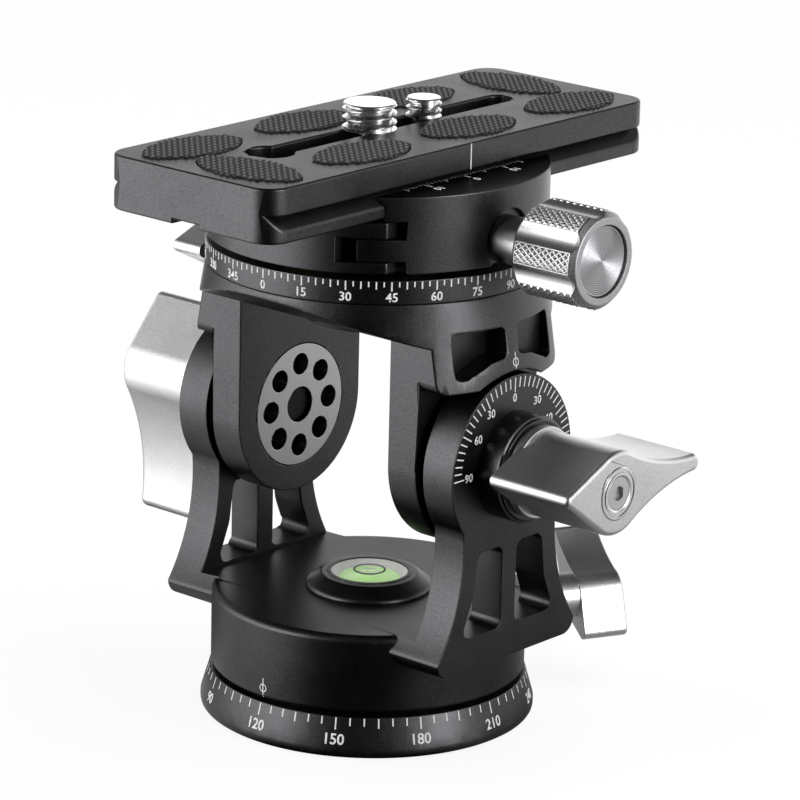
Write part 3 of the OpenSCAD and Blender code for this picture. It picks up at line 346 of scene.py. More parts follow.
shader, wire = finish("black_rubber", (0.04, 0.04, 0.04), 0.46)
shader.inputs["Specular IOR Level"].default_value = 0.4
height = wire.node("ShaderNodeSeparateXYZ", {0: spot(wire)}, out="Z")
# Painted highlight on the pyramids' tips and painted shade in the valleys between them: the colour follows the
# height.
painted_tip_light = fade(wire, height, PAD_VALLEYS_Z * MM, PAD_TIPS_Z * MM, curve="LINEAR")
colour = wire.node("ShaderNodeValToRGB", {"Fac": 0.85 * painted_tip_light + 0.15 * grain(wire, 0.15 * MM)},
                   stops=[(0.25, (0.006, 0.006, 0.006)), (0.85, (0.13, 0.13, 0.135))])
colour.into(shader, "Base Color")
(0.60 - 0.16 * painted_tip_light).into(shader, "Roughness")

shader, wire = finish("grip_silver", (0.65, 0.65, 0.66), 0.34, 1.0)
fine = grain(wire, 0.22 * MM)
along = wire.node("ShaderNodeSeparateXYZ", {0: spot(wire)}, out="X")
end = fade(wire, along, KNURL_END_X * MM, FACED_END_X * MM, curve="LINEAR")
colour = wire.node("ShaderNodeValToRGB", {"Fac": 0.5 * fine + 0.5 * end}, stops=[
    (0.15, (0.56, 0.56, 0.57)), (0.35, (0.72, 0.72, 0.73)),
    (0.65, (0.22, 0.22, 0.23)), (0.85, (0.46, 0.46, 0.47))])
colour.into(shader, "Base Color")
(0.34 + 0.14 * end + 0.2 * (fine - 0.5)).into(shader, "Roughness")
bump(wire, shader, fine, 0.008 * MM)
print("rubber and grip silver ready")

# %% [markdown]
# ## Parts kept as they are
# Shafts, bushes and washers are right as solids and mostly hidden. They only need their metal.

# %% Finish the plain solids
kept = {
    "plain_steel": ["pan_post", "pan_retainer", "post_screw", "pan_stem", "top_stem", "top_post",
                    "clamp_bolt", "clamp_screw", "guide_pin_1", "guide_pin_2", "head_washer_38",
                    "head_washer_14"],
    "black_oxide_and_shade": ["tilt_stem", "drag_stem", "top_retainer"],
    "bronze": ["pan_washer", "pan_bush", "pan_brake", "tilt_bush_r", "tilt_bush_l", "top_bush",
               "top_washer", "top_brake"],
}


def wear(piece, name):
    """Give a piece one finish."""
    piece.data.materials.clear()
    piece.data.materials.append(finishes[name])


for metal, names in kept.items():
    for name in names:
        wear(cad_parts[name], metal)
print("plain solids finished:", sum(len(names) for names in kept.values()))

# %% [markdown]
# ## Machined parts
# A milled edge is never sharp: the maker breaks it, and the thin flat that is left catches the light as a bright
# line. Each machined part is a copy of its solid. The copy's triangles are merged and its flat faces joined
# again, so that a Bevel can find the real edges. Only outer edges are broken. Weighted normals keep the large
# faces flat beside the small chamfers.

# %% Working on a piece
pieces = {}


def only(piece):
    """Select one piece and nothing else."""
    bpy.ops.object.select_all(action="DESELECT")
    piece.select_set(True)
    bpy.context.view_layer.objects.active = piece


def edit(piece):
    """Open a piece for editing, with all of it selected."""
    only(piece)
    bpy.ops.object.mode_set(mode="EDIT")
    bpy.ops.mesh.select_all(action="SELECT")


def done():
    bpy.ops.object.mode_set(mode="OBJECT")


def apply(piece, kind, **settings):
    """Add a modifier and apply it at once."""
    only(piece)
    step = piece.modifiers.new(kind.lower(), kind)
    for name, value in settings.items():
        setattr(step, name, value)
    bpy.ops.object.modifier_apply(modifier=step.name)


def fit(piece, body, slot, look, *stands_for):
    """Put a finished piece on its body, in its finish, in place of the solids it stands for."""
    wear(piece, look)
    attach(piece, body)
    if stands_for:
        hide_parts(*stands_for)
    pieces[piece.name] = piece
    return piece


def solid_copy(node, name):
    """A copy of a solid whose flat faces are whole again."""
    piece = bpy.data.objects.new(name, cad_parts[node].data.copy())
    scene.collection.objects.link(piece)
    edit(piece)
    bpy.ops.mesh.customdata_custom_splitnormals_clear()
    bpy.ops.mesh.remove_doubles(threshold=0.002 * MM)
    bpy.ops.mesh.dissolve_limited(angle_limit=math.radians(0.5))
    done()
    return piece


print("ready to work on", len(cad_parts), "solids")

# %% Edges
SHARP, SMOOTH = math.radians(32), math.radians(30)


def break_edges(piece, width, segments=2):
    """Chamfer the sharp outer edges; no chamfer leaves the box that the piece had before."""
    mesh = piece.data
    box = [[pick(v.co[axis] for v in mesh.vertices) for axis in range(3)] for pick in (min, max)]
    sides = {}
    for face in mesh.polygons:
        for key in face.edge_keys:
            sides.setdefault(key, []).append(face)
    weights = mesh.attributes.new("bevel_weight_edge", "FLOAT", "EDGE")
    for line in mesh.edges:
        one, other = (sides[line.key] * 2)[:2]
        turn = one.normal.angle(other.normal, 0.0)
        outer = (other.center - one.center).dot(one.normal) < 0
        weights.data[line.index].value = 1.0 if outer and turn > SHARP else 0.0
    apply(piece, "BEVEL", width=width, segments=segments, limit_method="WEIGHT",
          use_clamp_overlap=False, miter_outer="MITER_ARC", harden_normals=False)
    for corner in mesh.vertices:
        corner.co = [min(max(c, low), high) for c, low, high in zip(corner.co, *box)]
    only(piece)
    bpy.ops.object.shade_smooth_by_angle(angle=SMOOTH)
    apply(piece, "WEIGHTED_NORMAL", keep_sharp=True, weight=80)


def round_front(piece, angle, height, recess, radius):
    """Round the outer edge of a wing knob, which stands on an axis at an angle and a height."""
    out = Vector((math.cos(math.radians(angle)), math.sin(math.radians(angle)), 0))
    middle = Vector((0, 0, height * MM))
    face = max(v.co.dot(out) for v in piece.data.vertices)
    rim = [v.index for v in piece.data.vertices
           if v.co.dot(out) > face - 0.01 * MM and (v.co - middle).cross(out).length > recess * MM]
    piece.vertex_groups.new(name="rim").add(rim, 1.0, "ADD")
    apply(piece, "BEVEL", width=radius * MM, segments=4, limit_method="VGROUP", vertex_group="rim",
          use_clamp_overlap=False)
    piece.vertex_groups.clear()


print("edges under", round(math.degrees(SHARP)), "degrees stay as they are")

# %% Machined copies
WINGS = {  # heading of the knob's axis, its height, radius of the recess, rounding of the rim
    "tilt_knob": (0, TILT_Z, 5.2, 0.9),
    "drag_knob": (180, TILT_Z, 5.2, 0.9),
    "pan_knob": (64, 15.4, 0.5, 0.5),
    "top_knob": (180, 78.15, 0.5, 0.5),
}
MACHINED = [  # solid, body, slot, finish, width of the broken edge
    ("base_dial", "base", "anodised", "black_anodised", 0.32),
    ("fork", "pan_body", "anodised", "black_anodised", 0.34),
    ("level_boss", "pan_body", "anodised", "black_anodised", 0.30),
    ("yoke", "yoke", "anodised", "black_anodised", 0.34),
    ("azimuth_ring", "yoke", "anodised", "black_anodised", 0.24),
    ("clamp_body", "clamp", "anodised", "black_anodised", 0.28),
    ("clamp_jaw", "jaw", "anodised", "black_anodised", 0.28),
    ("plate", "plate", "anodised", "black_anodised", 0.45),
    ("tilt_collar_r", "pan_body", "collar", "black_smooth", 0.35),
    ("tilt_collar_l", "pan_body", "collar", "black_smooth", 0.35),
    ("pan_collar", "pan_body", "collar", "black_smooth", 0.20),
    ("top_collar", "yoke", "collar", "black_smooth", 0.20),
    ("tilt_axle_r", "yoke", "satin_silver", "turned_x_axle_shaded", 0.15),
    ("tilt_axle_l", "yoke", "satin_silver", "turned_x_axle_shaded", 0.15),
    ("tilt_cap_screw", "tilt_lock", "steel", "plain_steel", 0.10),
    ("drag_cap_screw", "drag_lock", "steel", "plain_steel", 0.10),
    ("tilt_knob", "tilt_lock", "satin_silver", "frosted_silver", 0.25),
    ("drag_knob", "drag_lock", "satin_silver", "frosted_silver", 0.25),
    ("pan_knob", "pan_lock", "satin_silver", "frosted_silver", 0.15),
    ("top_knob", "top_lock", "satin_silver", "frosted_silver", 0.15),
]
WIDE_EDGE = 0.4

for node, body, slot, look, width in MACHINED:
    part = solid_copy(node, node + "_machined")
    if node in WINGS:
        round_front(part, *WINGS[node])
    break_edges(part, width * MM, segments=4 if width > WIDE_EDGE else 2)
    fit(part, body, slot, look, node)
    print(node, len(part.data.polygons), "faces")

# %% [markdown]
# ## Turned pieces
# A lathe turns a bar against a tool, so a turned piece is known by half of its outline. Here one vertex is pushed
# along that outline and the line is spun about the axis. The seam is merged, and the faces are turned outwards.

# %% Lathe
SAME_POINT = 0.0005 * MM


def outline_of(name, points):
    """Push one vertex along (radius, height) points in millimetres. The piece stays open for editing."""
    bpy.ops.object.select_all(action="DESELECT")
    bpy.ops.mesh.primitive_plane_add(size=MM)
    piece = bpy.context.object
    piece.name = name
    edit(piece)
    bpy.ops.mesh.merge(type="CENTER")
    bpy.ops.transform.translate(value=(points[0][0] * MM, 0, points[0][1] * MM))
    for (r0, z0), (r1, z1) in zip(points, points[1:]):
        bpy.ops.mesh.extrude_region_move(
            TRANSFORM_OT_translate={"value": ((r1 - r0) * MM, 0, (z1 - z0) * MM)})
    bpy.ops.mesh.select_all(action="SELECT")
    return piece


def lathe(name, points, steps=64):
    """Turn an outline about Z."""
    piece = outline_of(name, points)
    bpy.ops.mesh.spin(steps=steps, angle=math.tau, axis=(0, 0, 1), center=(0, 0, 0))
    bpy.ops.mesh.select_all(action="SELECT")
    bpy.ops.mesh.remove_doubles(threshold=SAME_POINT)
    bpy.ops.mesh.normals_make_consistent(inside=False)
    done()
    only(piece)
    bpy.ops.object.shade_smooth_by_angle(angle=SMOOTH)
    return piece


def stand(piece, turn=(0, 0, 0), place=(0, 0, 0)):
    """Turn a piece by degrees, move it by millimetres, and leave its object at the origin."""
    only(piece)
    piece.rotation_euler = [math.radians(angle) for angle in turn]
    piece.location = Vector(place) * MM
    bpy.ops.object.transform_apply(location=True, rotation=True, scale=True)
    return piece


def join(name, parts):
    """Join parts into the first one."""
    only(parts[0])
    for part in parts:
        part.select_set(True)
    bpy.ops.object.join()
    parts[0].name = name
    return parts[0]


print("lathe ready")

# %% [markdown]
# ## Bubble level
# The level is a clear domed window on a shallow cup with green spirit and a bubble. Glass that bends light would
# be slow and would not travel to other programs, so the window is a thin layer that is mostly see-through, and
# the cup is as shallow as it looks through the spirit. A printed rim and a printed ring show where the bubble
# belongs.

# %% Level finishes
shader, wire = finish("green_spirit", (0.50, 0.88, 0.22), 0.35)
green = wire.node("ShaderNodeValToRGB", {"Fac": grain(wire, 6 * MM, 1.0)},
                  stops=[(0.3, (0.42, 0.84, 0.20)), (0.7, (0.60, 0.94, 0.36))])
green.into(shader, "Base Color")
# The spirit glows a little in its own green. This is painted light, which makes it brighter than the lamps alone
# would.
green.into(shader, "Emission Color")
shader.inputs["Emission Strength"].default_value = 0.22
blasted("cup_plastic", (0.62, 0.60, 0.60), (0.74, 0.72, 0.72), 0.45, 0.0, 0.5 * MM, 0.002 * MM)
for name, colour, cover, roughness in (("clear_window", (0.9, 0.9, 0.9), 0.10, 0.06),
                                       ("bubble_skin", (0.80, 0.95, 0.60), 0.45, 0.10)):
    shader, wire = finish(name, colour, roughness)
    (cover + 0.04 * (grain(wire, 3 * MM) - 0.5)).into(shader, "Alpha")
print("level finishes ready")

# %% Level pieces
LEVEL = [  # piece, finish, solids that it stands for, half outline
    ("level_cup", "cup_plastic", ["level_vial"],
     [(0, 22.5), (7.5, 22.5), (7.5, 24.5), (6.9, 24.5), (5.4, 23.4), (0, 23.4)]),
    ("level_spirit", "green_spirit", [],
     [(0, 23.35), (5.38, 23.35), (5.42, 23.45), (5.3, 23.5), (0, 23.5)]),
    ("level_window", "clear_window", [],
     [(0, 24.45), (6.95, 24.4), (7.0, 24.5), (5.5, 24.62), (3, 24.74), (0, 24.8)]),
    ("level_rim", "black_print", [],
     [(6.85, 24.35), (7.5, 24.35), (7.5, 24.58), (7.4, 24.66), (6.95, 24.66), (6.85, 24.58),
      (6.85, 24.35)]),
    ("level_target", "black_print", [],
     [(2.58, 24.74), (2.95, 24.74), (2.95, 24.82), (2.58, 24.85), (2.58, 24.74)]),
    ("level_bubble", "bubble_skin", [],
     [(0, 24.0), (1.2, 24.05), (1.9, 24.2), (2.05, 24.3), (1.9, 24.38), (0, 24.44)]),
]
for name, look, stands_for, points in LEVEL:
    fit(lathe(name, points), "pan_body", "vial", look, *stands_for)
print("level:", [name for name in pieces if name.startswith("level")])

# %% [markdown]
# ## Turned caps
# A turned cap closes each large knob. The tool leaves a raised rim, a fine groove and a raised inner ring round
# the socket screw, and these rings are what the light picks out, so they are in the outline and not only in the
# finish.

# %% Caps
CAP_RINGS = [  # radius, height over the knob's face
    (1.7, -1.6), (4.68, -1.6), (4.68, 0.0), (4.5, 0.16), (4.15, 0.16), (4.0, -0.02), (3.8, -0.02),
    (3.68, 0.18), (3.25, 0.18), (3.1, 0.05), (2.95, 0.0), (2.95, -0.98), (1.7, -0.98), (1.7, -1.6)]
ALONG_X = (0, 90, 0)

for node, body, face, turn in (("tilt_cap", "tilt_lock", 55.6, 0), ("drag_cap", "drag_lock", 55.0, 180)):
    cap = lathe(node + "_turned", [(r, face + h) for r, h in CAP_RINGS], steps=96)
    stand(cap, turn=ALONG_X)
    stand(cap, turn=(0, 0, turn), place=(0, 0, TILT_Z))
    fit(cap, body, "satin_silver", "turned_x_tilt", node)
    print(cap.name, len(cap.data.polygons), "faces")

# %% [markdown]
# ## Camera screws
# A screw thread is a ridge that winds round a core and climbs one pitch a turn. The ridge is a blunt triangle
# that a Screw modifier winds, closed at its ends and cut flat at the height where the real thread runs out. The
# core is turned with a cut-back top. Below the plate the solid is kept.

# %% Threads
SLOT_X, THREAD_Z, HEAD_CUT_Z = 1.46, 106.62, 106.7
ROOT_SINK, THREAD_CUT = 0.15, 0.001
# Shares of the pitch: a flank, the blunt crest, and the run before the lower cut.
FLANK, CREST, RUN_IN = 0.40, 0.12, 1.83


def ridge(major, core, pitch, low, high):
    """A closed ridge that winds about Z, cut off flat at two heights."""
    turns = int((high - low) / pitch) + 3
    root, start = core - ROOT_SINK, low - RUN_IN * pitch
    piece = outline_of("ridge", [(root, start), (major, start + FLANK * pitch),
                                 (major, start + (FLANK + CREST) * pitch),
                                 (root, start + (2 * FLANK + CREST) * pitch)])
    bpy.ops.mesh.edge_face_add()
    done()
    apply(piece, "SCREW", screw_offset=pitch * MM, angle=math.tau, iterations=turns, steps=40,
          render_steps=40, use_normal_calculate=True, use_merge_vertices=False)
    edit(piece)
    bpy.ops.mesh.remove_doubles(threshold=SAME_POINT)
    bpy.ops.mesh.select_all(action="DESELECT")
    bpy.ops.mesh.select_non_manifold(extend=False, use_wire=False, use_multi_face=False,
                                     use_non_contiguous=False, use_verts=False)
    bpy.ops.mesh.edge_face_add()
    for height, top in ((high, True), (low, False)):
        bpy.ops.mesh.select_all(action="SELECT")
        bpy.ops.mesh.bisect(plane_co=(0, 0, height * MM), plane_no=(0, 0, 1), use_fill=True,
                            clear_outer=top, clear_inner=not top, threshold=THREAD_CUT * MM)
    bpy.ops.mesh.select_all(action="SELECT")
    bpy.ops.mesh.normals_make_consistent(inside=False)
    done()
    return piece


def camera_screw(node, body, major, core, pitch, top, y):
    """A threaded stud over the solid head of its screw."""
    rim, face = major - 0.2, top - 0.02
    stud = lathe(node + "_core", [(0, THREAD_Z), (core, THREAD_Z), (core, top - 0.95), (rim, top - 0.34),
                                  (rim, top - 0.16), (rim - 0.16, face), (0, face)])
    thread = ridge(major, core, pitch, THREAD_Z, top - 0.5)
    stand(join(node + "_core", [stud, thread]), place=(SLOT_X, y, 0))
    head = solid_copy(node, "head")
    edit(head)
    bpy.ops.mesh.bisect(plane_co=(0, 0, HEAD_CUT_Z * MM), plane_no=(0, 0, 1), use_fill=True,
                        clear_outer=True)
    done()
    join(node + "_threaded", [stud, head])
    only(stud)
    bpy.ops.object.shade_smooth_by_angle(angle=math.radians(35))
    return fit(stud, body, "bright_silver", "polished_steel", node)


SCREWS = [  # solid, body, thread's outer radius, core's radius, pitch, top, place along the plate
    ("stud_38", "screw_38", 4.74, 3.85, 1.5875, 111.35, -4.3),
    ("stud_14", "screw_14", 3.16, 2.50, 1.27, 110.05, 10.0),
]
for sizes in SCREWS:
    screw = camera_screw(*sizes)
    print(screw.name, len(screw.data.polygons), "faces")

# %% [markdown]
# ## Rubber pads
# The plate grips the camera with eight moulded pads covered in small pyramids. One pad is modelled: a grid is
# poked into pyramids, given a floor and trimmed by the pad's own outline. The others are copies of it, each
# turned and moved to its pocket.

# %% One pad
PYRAMIDS, PYRAMID_W, PYRAMID_H, PAD_Z = 18, 1.36, 0.54, 106.60


def middle_of(node):
    """The middle of a solid, seen from above, in millimetres."""
    low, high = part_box(node)
    return [(low[axis] + high[axis]) / 2 / MM for axis in (0, 1)]


bpy.ops.object.select_all(action="DESELECT")
bpy.ops.mesh.primitive_grid_add(x_subdivisions=PYRAMIDS, y_subdivisions=PYRAMIDS,
                                size=PYRAMIDS * PYRAMID_W * MM)
pattern = bpy.context.object
stand(pattern, place=(0, 0, PAD_Z))
edit(pattern)
bpy.ops.mesh.poke(offset=PYRAMID_H * MM)
bpy.ops.mesh.select_all(action="SELECT")
bpy.ops.mesh.extrude_region_move(TRANSFORM_OT_translate={"value": (0, 0, -2 * MM)})
bpy.ops.mesh.select_all(action="SELECT")
bpy.ops.mesh.normals_make_consistent(inside=False)
done()
trim = solid_copy("pad_1", "pad_trim")
stand(trim, place=[-at for at in middle_of("pad_1")] + [0])
apply(pattern, "BOOLEAN", operation="INTERSECT", object=trim, solver="EXACT")
bpy.data.objects.remove(trim)
print("one pad:", len(pattern.data.polygons), "faces")

# %% Eight pads
PAD_TURNS = [0, 0, 0, 90, 180, 180, 180, 270]

for count, turn in enumerate(PAD_TURNS, 1):
    node = "pad_%d" % count
    pad = bpy.data.objects.new(node + "_moulded", pattern.data.copy())
    scene.collection.objects.link(pad)
    stand(pad, turn=(0, 0, turn), place=middle_of(node) + [0])
    fit(pad, "plate", "rubber", "black_rubber", node)
bpy.data.objects.remove(pattern)
print("pads:", len(PAD_TURNS))

# %% [markdown]
# ## Knurled clamp knob
# The knob is turned from bar, with a chamfer at each end and a bore for its screw. A knurling tool presses a net
# of small diamonds into it, and a round cutter then mills seven smooth flutes. The cutter is one bar that is spun
# round the knob and taken away from it.

# %% Clamp knob
GRIP_R, GRIP_START, GRIP_END, GRIP_CHAMFER = 8.45, 36.8, 50.6, 0.95
NECK_R, NECK_START, BORE_R, BORE_END = 4.2, 28.85, 2.6, 43.8
RECESS_R, RECESS_FLOOR = 6.25, 48.85
FLUTES, FIRST_FLUTE, FLUTE_R, FLUTE_DEPTH, FLUTE_EDGE = 7, 7, 3.6, 0.7, 0.14
GRIP_MIDDLE, CUTTER_L = (GRIP_START + GRIP_END) / 2, GRIP_END - GRIP_START + 2


def spin_copies(piece, angle, count):
    """Spin copies of a piece clockwise about Z, over an angle, until there are count of it."""
    edit(piece)
    bpy.ops.mesh.spin(steps=count - 1, dupli=True, angle=angle, axis=(0, 0, 1), center=(0, 0, 0))
    done()


grip = lathe("clamp_grip_knurled", [
    (0, BORE_END), (BORE_R, BORE_END), (BORE_R, NECK_START), (NECK_R, NECK_START), (NECK_R, GRIP_START),
    (GRIP_R - GRIP_CHAMFER, GRIP_START), (GRIP_R, GRIP_START + GRIP_CHAMFER),
    (GRIP_R, GRIP_END - GRIP_CHAMFER), (GRIP_R - GRIP_CHAMFER, GRIP_END), (RECESS_R, GRIP_END),
    (RECESS_R, RECESS_FLOOR), (0, RECESS_FLOOR)], steps=18 * FLUTES)
bpy.ops.object.select_all(action="DESELECT")
bpy.ops.mesh.primitive_cylinder_add(vertices=48, radius=FLUTE_R * MM, depth=CUTTER_L * MM)
cutter = bpy.context.object
stand(cutter, place=(-(GRIP_R + FLUTE_R - FLUTE_DEPTH), 0, GRIP_MIDDLE))
spin_copies(cutter, math.tau * (FLUTES - 1) / FLUTES, FLUTES)
stand(cutter, turn=(0, 0, FIRST_FLUTE))
apply(grip, "BOOLEAN", operation="DIFFERENCE", object=cutter, solver="EXACT")
bpy.data.objects.remove(cutter)
break_edges(grip, FLUTE_EDGE * MM)
print("fluted bar:", len(grip.data.polygons), "faces")

# %% [markdown]
# One panel of the knurl is a turned grid that is trimmed, cast on a cylinder and poked into pyramids, and the
# others are spun from it. The disc in the knob's face is turned with a pointed tool. Its fine grooves are in the
# outline, because they are what spreads the light into two bright and two dark sectors.

# %% Knurl
DIAMONDS, DIAMOND_W, DIAMOND_SHAPE = 14, 1.19, (0.62, 0.86, 1)
KNURL_SINK, KNURL_H, KNURL_BACK = 0.015, 0.26, 0.3
PANEL_HALF_W, PANEL_HALF_L = GRIP_R * math.sin(math.radians(12.4)), 5.75

bpy.ops.object.select_all(action="DESELECT")
bpy.ops.mesh.primitive_grid_add(x_subdivisions=DIAMONDS, y_subdivisions=DIAMONDS,
                                size=DIAMONDS * DIAMOND_W * MM)
panel = bpy.context.object
stand(panel, turn=(0, 0, 45))
panel.scale = DIAMOND_SHAPE
stand(panel, turn=(90, 0, 0), place=(0, -GRIP_R, 0))
edit(panel)
for side, reach in (((1, 0, 0), PANEL_HALF_W), ((-1, 0, 0), PANEL_HALF_W),
                    ((0, 0, 1), PANEL_HALF_L), ((0, 0, -1), PANEL_HALF_L)):
    bpy.ops.mesh.select_all(action="SELECT")
    bpy.ops.mesh.bisect(plane_co=Vector(side) * reach * MM, plane_no=side, clear_outer=True)
done()
apply(panel, "CAST", cast_type="CYLINDER", factor=1.0, use_radius_as_size=False,
      size=(GRIP_R - KNURL_SINK) * MM, use_z=False)
edit(panel)
bpy.ops.mesh.poke(offset=KNURL_H * MM)
done()
apply(panel, "SOLIDIFY", thickness=KNURL_BACK * MM, offset=-1.0)
spin_copies(panel, math.tau * (FLUTES - 1) / FLUTES, FLUTES)
# A panel lies half a step past a flute, and was made a quarter turn on.
first_panel = FIRST_FLUTE + 1.5 * 360 / FLUTES - 90
stand(panel, turn=(0, 0, first_panel), place=(0, 0, GRIP_MIDDLE))
join("clamp_grip_knurled", [grip, panel])
stand(grip, turn=ALONG_X, place=(0, 0, GRIP_Z))
fit(grip, "grip", "bright_silver", "grip_silver", "clamp_grip")
print("grip:", len(grip.data.polygons), "faces")

# %% Turned disc
DISC_R, DISC_BACK, DISC_FACE, DISC_CHAMFER = 6.1, 48.9, 50.1, 0.08
GROOVES, GROOVE_R, GROOVE_STEP, GROOVE_DEPTH = 39, 5.85, 0.15, 0.06

grooves = [(GROOVE_R - GROOVE_STEP * step, DISC_FACE - GROOVE_DEPTH * (step % 2)) for step in range(GROOVES)]
disc = lathe("grip_cap_turned", [(0, DISC_BACK), (DISC_R, DISC_BACK), (DISC_R, DISC_FACE - DISC_CHAMFER),
                                 (DISC_R - 0.1, DISC_FACE)] + grooves + [(0, DISC_FACE)], steps=96)
stand(disc, turn=ALONG_X, place=(0, 0, GRIP_Z))
fit(disc, "grip", "bright_silver", "turned_x_grip", "grip_cap")
print("disc:", len(disc.data.polygons), "faces")

# %% [markdown]
# ## Printed scales
# The dials are filled with white paint. A stroke is a thin box that lies half in the face, so it never floats,
# and spinning it with copies makes the ring. A number is a text that becomes a mesh. On a round dial it is
# projected straight on the face and then given the thickness of the paint.

# %% Strokes and numbers
INK = 0.06
LINE_W = 0.24


def stroke(width, length, place, turn=(0, 0, 0)):
    """A thin box of paint: width along X, length along Y, in millimetres."""
    bpy.ops.object.select_all(action="DESELECT")
    bpy.ops.mesh.primitive_cube_add(size=MM)
    mark = bpy.context.object
    mark.scale = (width, length, INK)
    stand(mark)
    edit(mark)
    bpy.ops.mesh.bevel(offset=INK / 5 * MM, offset_type="OFFSET", segments=1, affect="EDGES")
    done()
    return stand(mark, turn, place)


def number(text, height):
    """A flat number round the origin, facing up."""
    bpy.ops.object.select_all(action="DESELECT")
    bpy.ops.object.text_add()
    letters = bpy.context.object.data
    letters.body, letters.resolution_u, letters.offset = text, 3, 0.018
    bpy.ops.object.convert(target="MESH")
    sign = bpy.context.object
    reach = [[corner[axis] for corner in sign.bound_box] for axis in (0, 1)]
    size = height / (max(reach[1]) - min(reach[1]))
    sign.scale = (size * MM,) * 3
    middle_x, middle_y = ((max(r) + min(r)) / 2 for r in reach)
    stand(sign, place=(-middle_x * size, -middle_y * size, 0))
    edit(sign)
    bpy.ops.mesh.remove_doubles(threshold=0.001 * MM)
    done()
    return sign


def thicken(mark):
    """Give a flat mark the thickness of the paint."""
    apply(mark, "SOLIDIFY", thickness=INK * MM, offset=0.0)
    return mark


def lay_on(mark, dial, axis, forward):
    """Project a flat mark along an axis on a dial, and thicken it there."""
    apply(mark, "SHRINKWRAP", target=dial, wrap_method="PROJECT", use_negative_direction=not forward,
          use_positive_direction=forward, **{"use_project_" + axis: True})
    return thicken(mark)


def around(mark, first, step, count):
    """Turn a mark about Z to its first angle, and spin copies of it, a step apart."""
    stand(mark, turn=(0, 0, first))
    spin_copies(mark, math.radians(step * (count - 1)), count)
    return mark


print("paint", INK, "mm thick")

# %% Round scales
RING_R = 30.0
BASE_R, BASE_SLOPE_Z, BASE_SLOPE = 30, 1.8, 1.6 / 5.4


def round_scale(name, dial, face, lean, top, strokes, labels, height, label_z, zero):
    """Strokes and numbers round a dial; face gives the radius at a height."""
    marks = []
    for length, angles, step, count in strokes:
        z = top - length / 2
        for angle in angles:
            mark = stroke(LINE_W, length / math.cos(math.radians(lean)), (0, -face(z), z), (90 - lean, 0, 0))
            marks.append(around(mark, angle + zero, step, count))
    for label in labels:
        mark = stand(number(str(label), height), (90, 0, 0), (0, -face(label_z) - 3, label_z))
        marks.append(stand(lay_on(mark, dial, "y", True), turn=(0, 0, label + zero)))
    return join(name, marks)


# Each kind of stroke: its length, the angles that it starts from, the step and the count.
base_scale = round_scale(
    "base_scale", pieces["base_dial_machined"], face=lambda z: BASE_R - BASE_SLOPE * (z - BASE_SLOPE_Z),
    lean=16.5, top=7.0, strokes=[(1.3, (5, 10), 15, 24), (1.65, (15,), 30, 12), (2.05, (0,), 30, 12)],
    labels=range(0, 360, 30), height=1.9, label_z=3.36, zero=-119.4)
fit(base_scale, "base", "anodised", "white_print")
ring_scale = round_scale(
    "ring_scale", pieces["azimuth_ring_machined"], face=lambda z: RING_R, lean=0, top=86.1,
    strokes=[(0.9, (2.5,), 5, 72), (1.28, (5, 10), 15, 24), (1.6, (0,), 15, 24)],
    labels=range(0, 360, 15), height=1.6, label_z=83.4, zero=1.35)
fit(ring_scale, "yoke", "anodised", "white_print")
print("round scales:", len(base_scale.data.polygons), len(ring_scale.data.polygons), "faces")

# %% Tilt scale
ARM_FACE_X = 32.3
FACING_X = (90, 0, 90)
TILT_LABELS = [  # number, degrees from the top, radius
    (0, 0, 11.95), (30, 31, 12.0), (30, -31, 12.0), (60, 56, 11.4), (60, -56, 11.4), (90, 90, 11.7),
    (90, -90, 11.7)]

marks = [around(stroke(LINE_W, 1.85, (0, 14.62, 0)), 90 - angle, 30, 6) for angle in (5, 10, 15, 20, 25)]
marks.append(around(stroke(LINE_W, 2.55, (0, 14.27, 0)), 90, 30, 7))
for label, angle, radius in TILT_LABELS:
    turn = math.radians(angle)
    place = (radius * math.sin(turn), radius * math.cos(turn), 0)
    marks.append(thicken(stand(number(str(label), 1.55), place=place)))
tilt_scale = stand(join("tilt_scale", marks), FACING_X, (ARM_FACE_X, 0, TILT_Z))
fit(tilt_scale, "pan_body", "anodised", "white_print")
print("tilt scale:", len(tilt_scale.data.polygons), "faces")

# %% Clamp scale
JAW_TOP_Z, ZERO_Y, FINE_W = 100.75, -0.35, 0.2


def repeat(mark, *arrays):
    """Repeat a mark along Y, by counts and steps in millimetres."""
    for count, step in arrays:
        apply(mark, "ARRAY", count=count, use_relative_offset=False, use_constant_offset=True,
              constant_offset_displace=(0, step * MM, 0))
    return mark


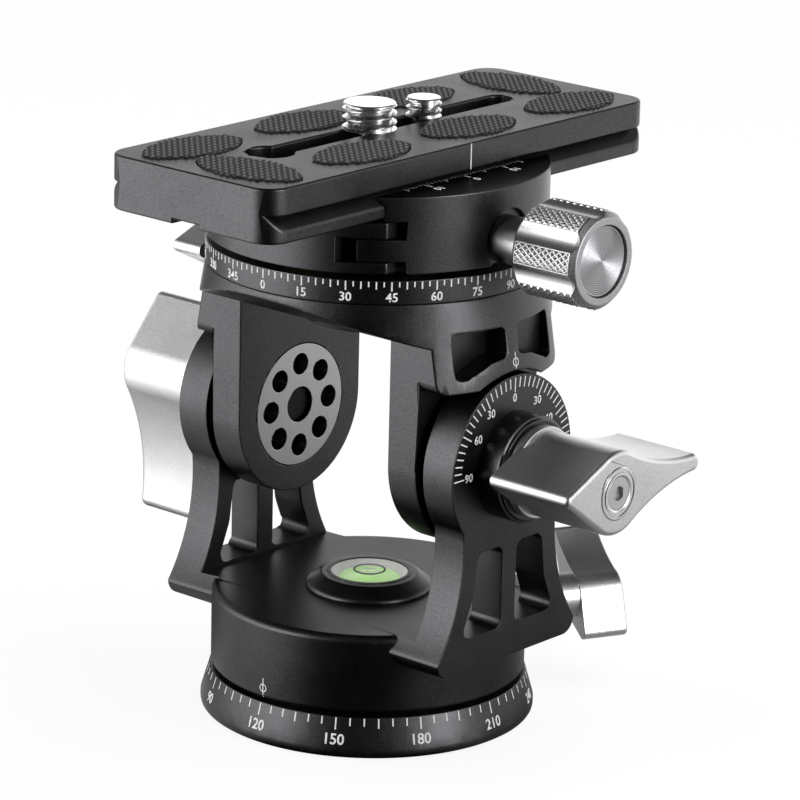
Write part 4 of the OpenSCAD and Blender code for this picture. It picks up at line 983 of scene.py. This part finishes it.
marks = [repeat(stroke(0.55, FINE_W, (19.35, ZERO_Y - 14, JAW_TOP_Z)), (4, 1), (6, 5)),
         repeat(stroke(1.35, FINE_W, (19.75, ZERO_Y - 15, JAW_TOP_Z)), (4, 10)),
         repeat(stroke(2.2, FINE_W, (20.15, ZERO_Y - 10, JAW_TOP_Z)), (3, 10))]
for y in (-10, 0, 10):
    marks.append(thicken(stand(number(str(abs(y)), 1.6), (0, 0, -90), (22.65, ZERO_Y + y, JAW_TOP_Z))))
clamp_scale = fit(join("clamp_scale", marks), "jaw", "anodised", "white_print")
print("clamp scale:", len(clamp_scale.data.polygons), "faces")

# %% [markdown]
# ## Index marks
# A circle with a line through it marks the body and the shoulder against their dials, and a single line marks the
# middle of the plate. The circle is a disc that is inset and emptied.

# %% Index marks
INDEX_R, INDEX_RING_W, INDEX_LINE_W = 0.77, 0.16, 0.17


def index_mark(name, length):
    """A flat circle with a line through it, facing up."""
    bpy.ops.object.select_all(action="DESELECT")
    bpy.ops.mesh.primitive_circle_add(vertices=32, radius=INDEX_R * MM, fill_type="NGON")
    ring = bpy.context.object
    edit(ring)
    bpy.ops.mesh.inset(thickness=INDEX_RING_W * MM)
    bpy.ops.mesh.delete(type="FACE")
    done()
    bpy.ops.mesh.primitive_grid_add(x_subdivisions=1, y_subdivisions=6, size=MM)
    line = bpy.context.object
    line.scale = (INDEX_LINE_W, length, 1)
    stand(line)
    return join(name, [ring, line])


body_index = stand(index_mark("body_index", 3.5), (90, 0, 0), (0, -34, 9.75))
stand(lay_on(body_index, pieces["fork_machined"], "y", True), turn=(0, 0, 1.0))
fit(body_index, "pan_body", "anodised", "white_print")
shoulder_index = stand(index_mark("shoulder_index", 3.4), FACING_X, (40, 0.4, 70.0))
fit(lay_on(shoulder_index, pieces["yoke_machined"], "x", False), "yoke", "anodised", "white_print")
plate_index = stroke(0.28, 4.5, (20.56, 0.45, 104.15), FACING_X)
plate_index.name = "plate_index"
fit(plate_index, "plate", "anodised", "white_print")
print("index marks:", [name for name in pieces if name.endswith("index")])
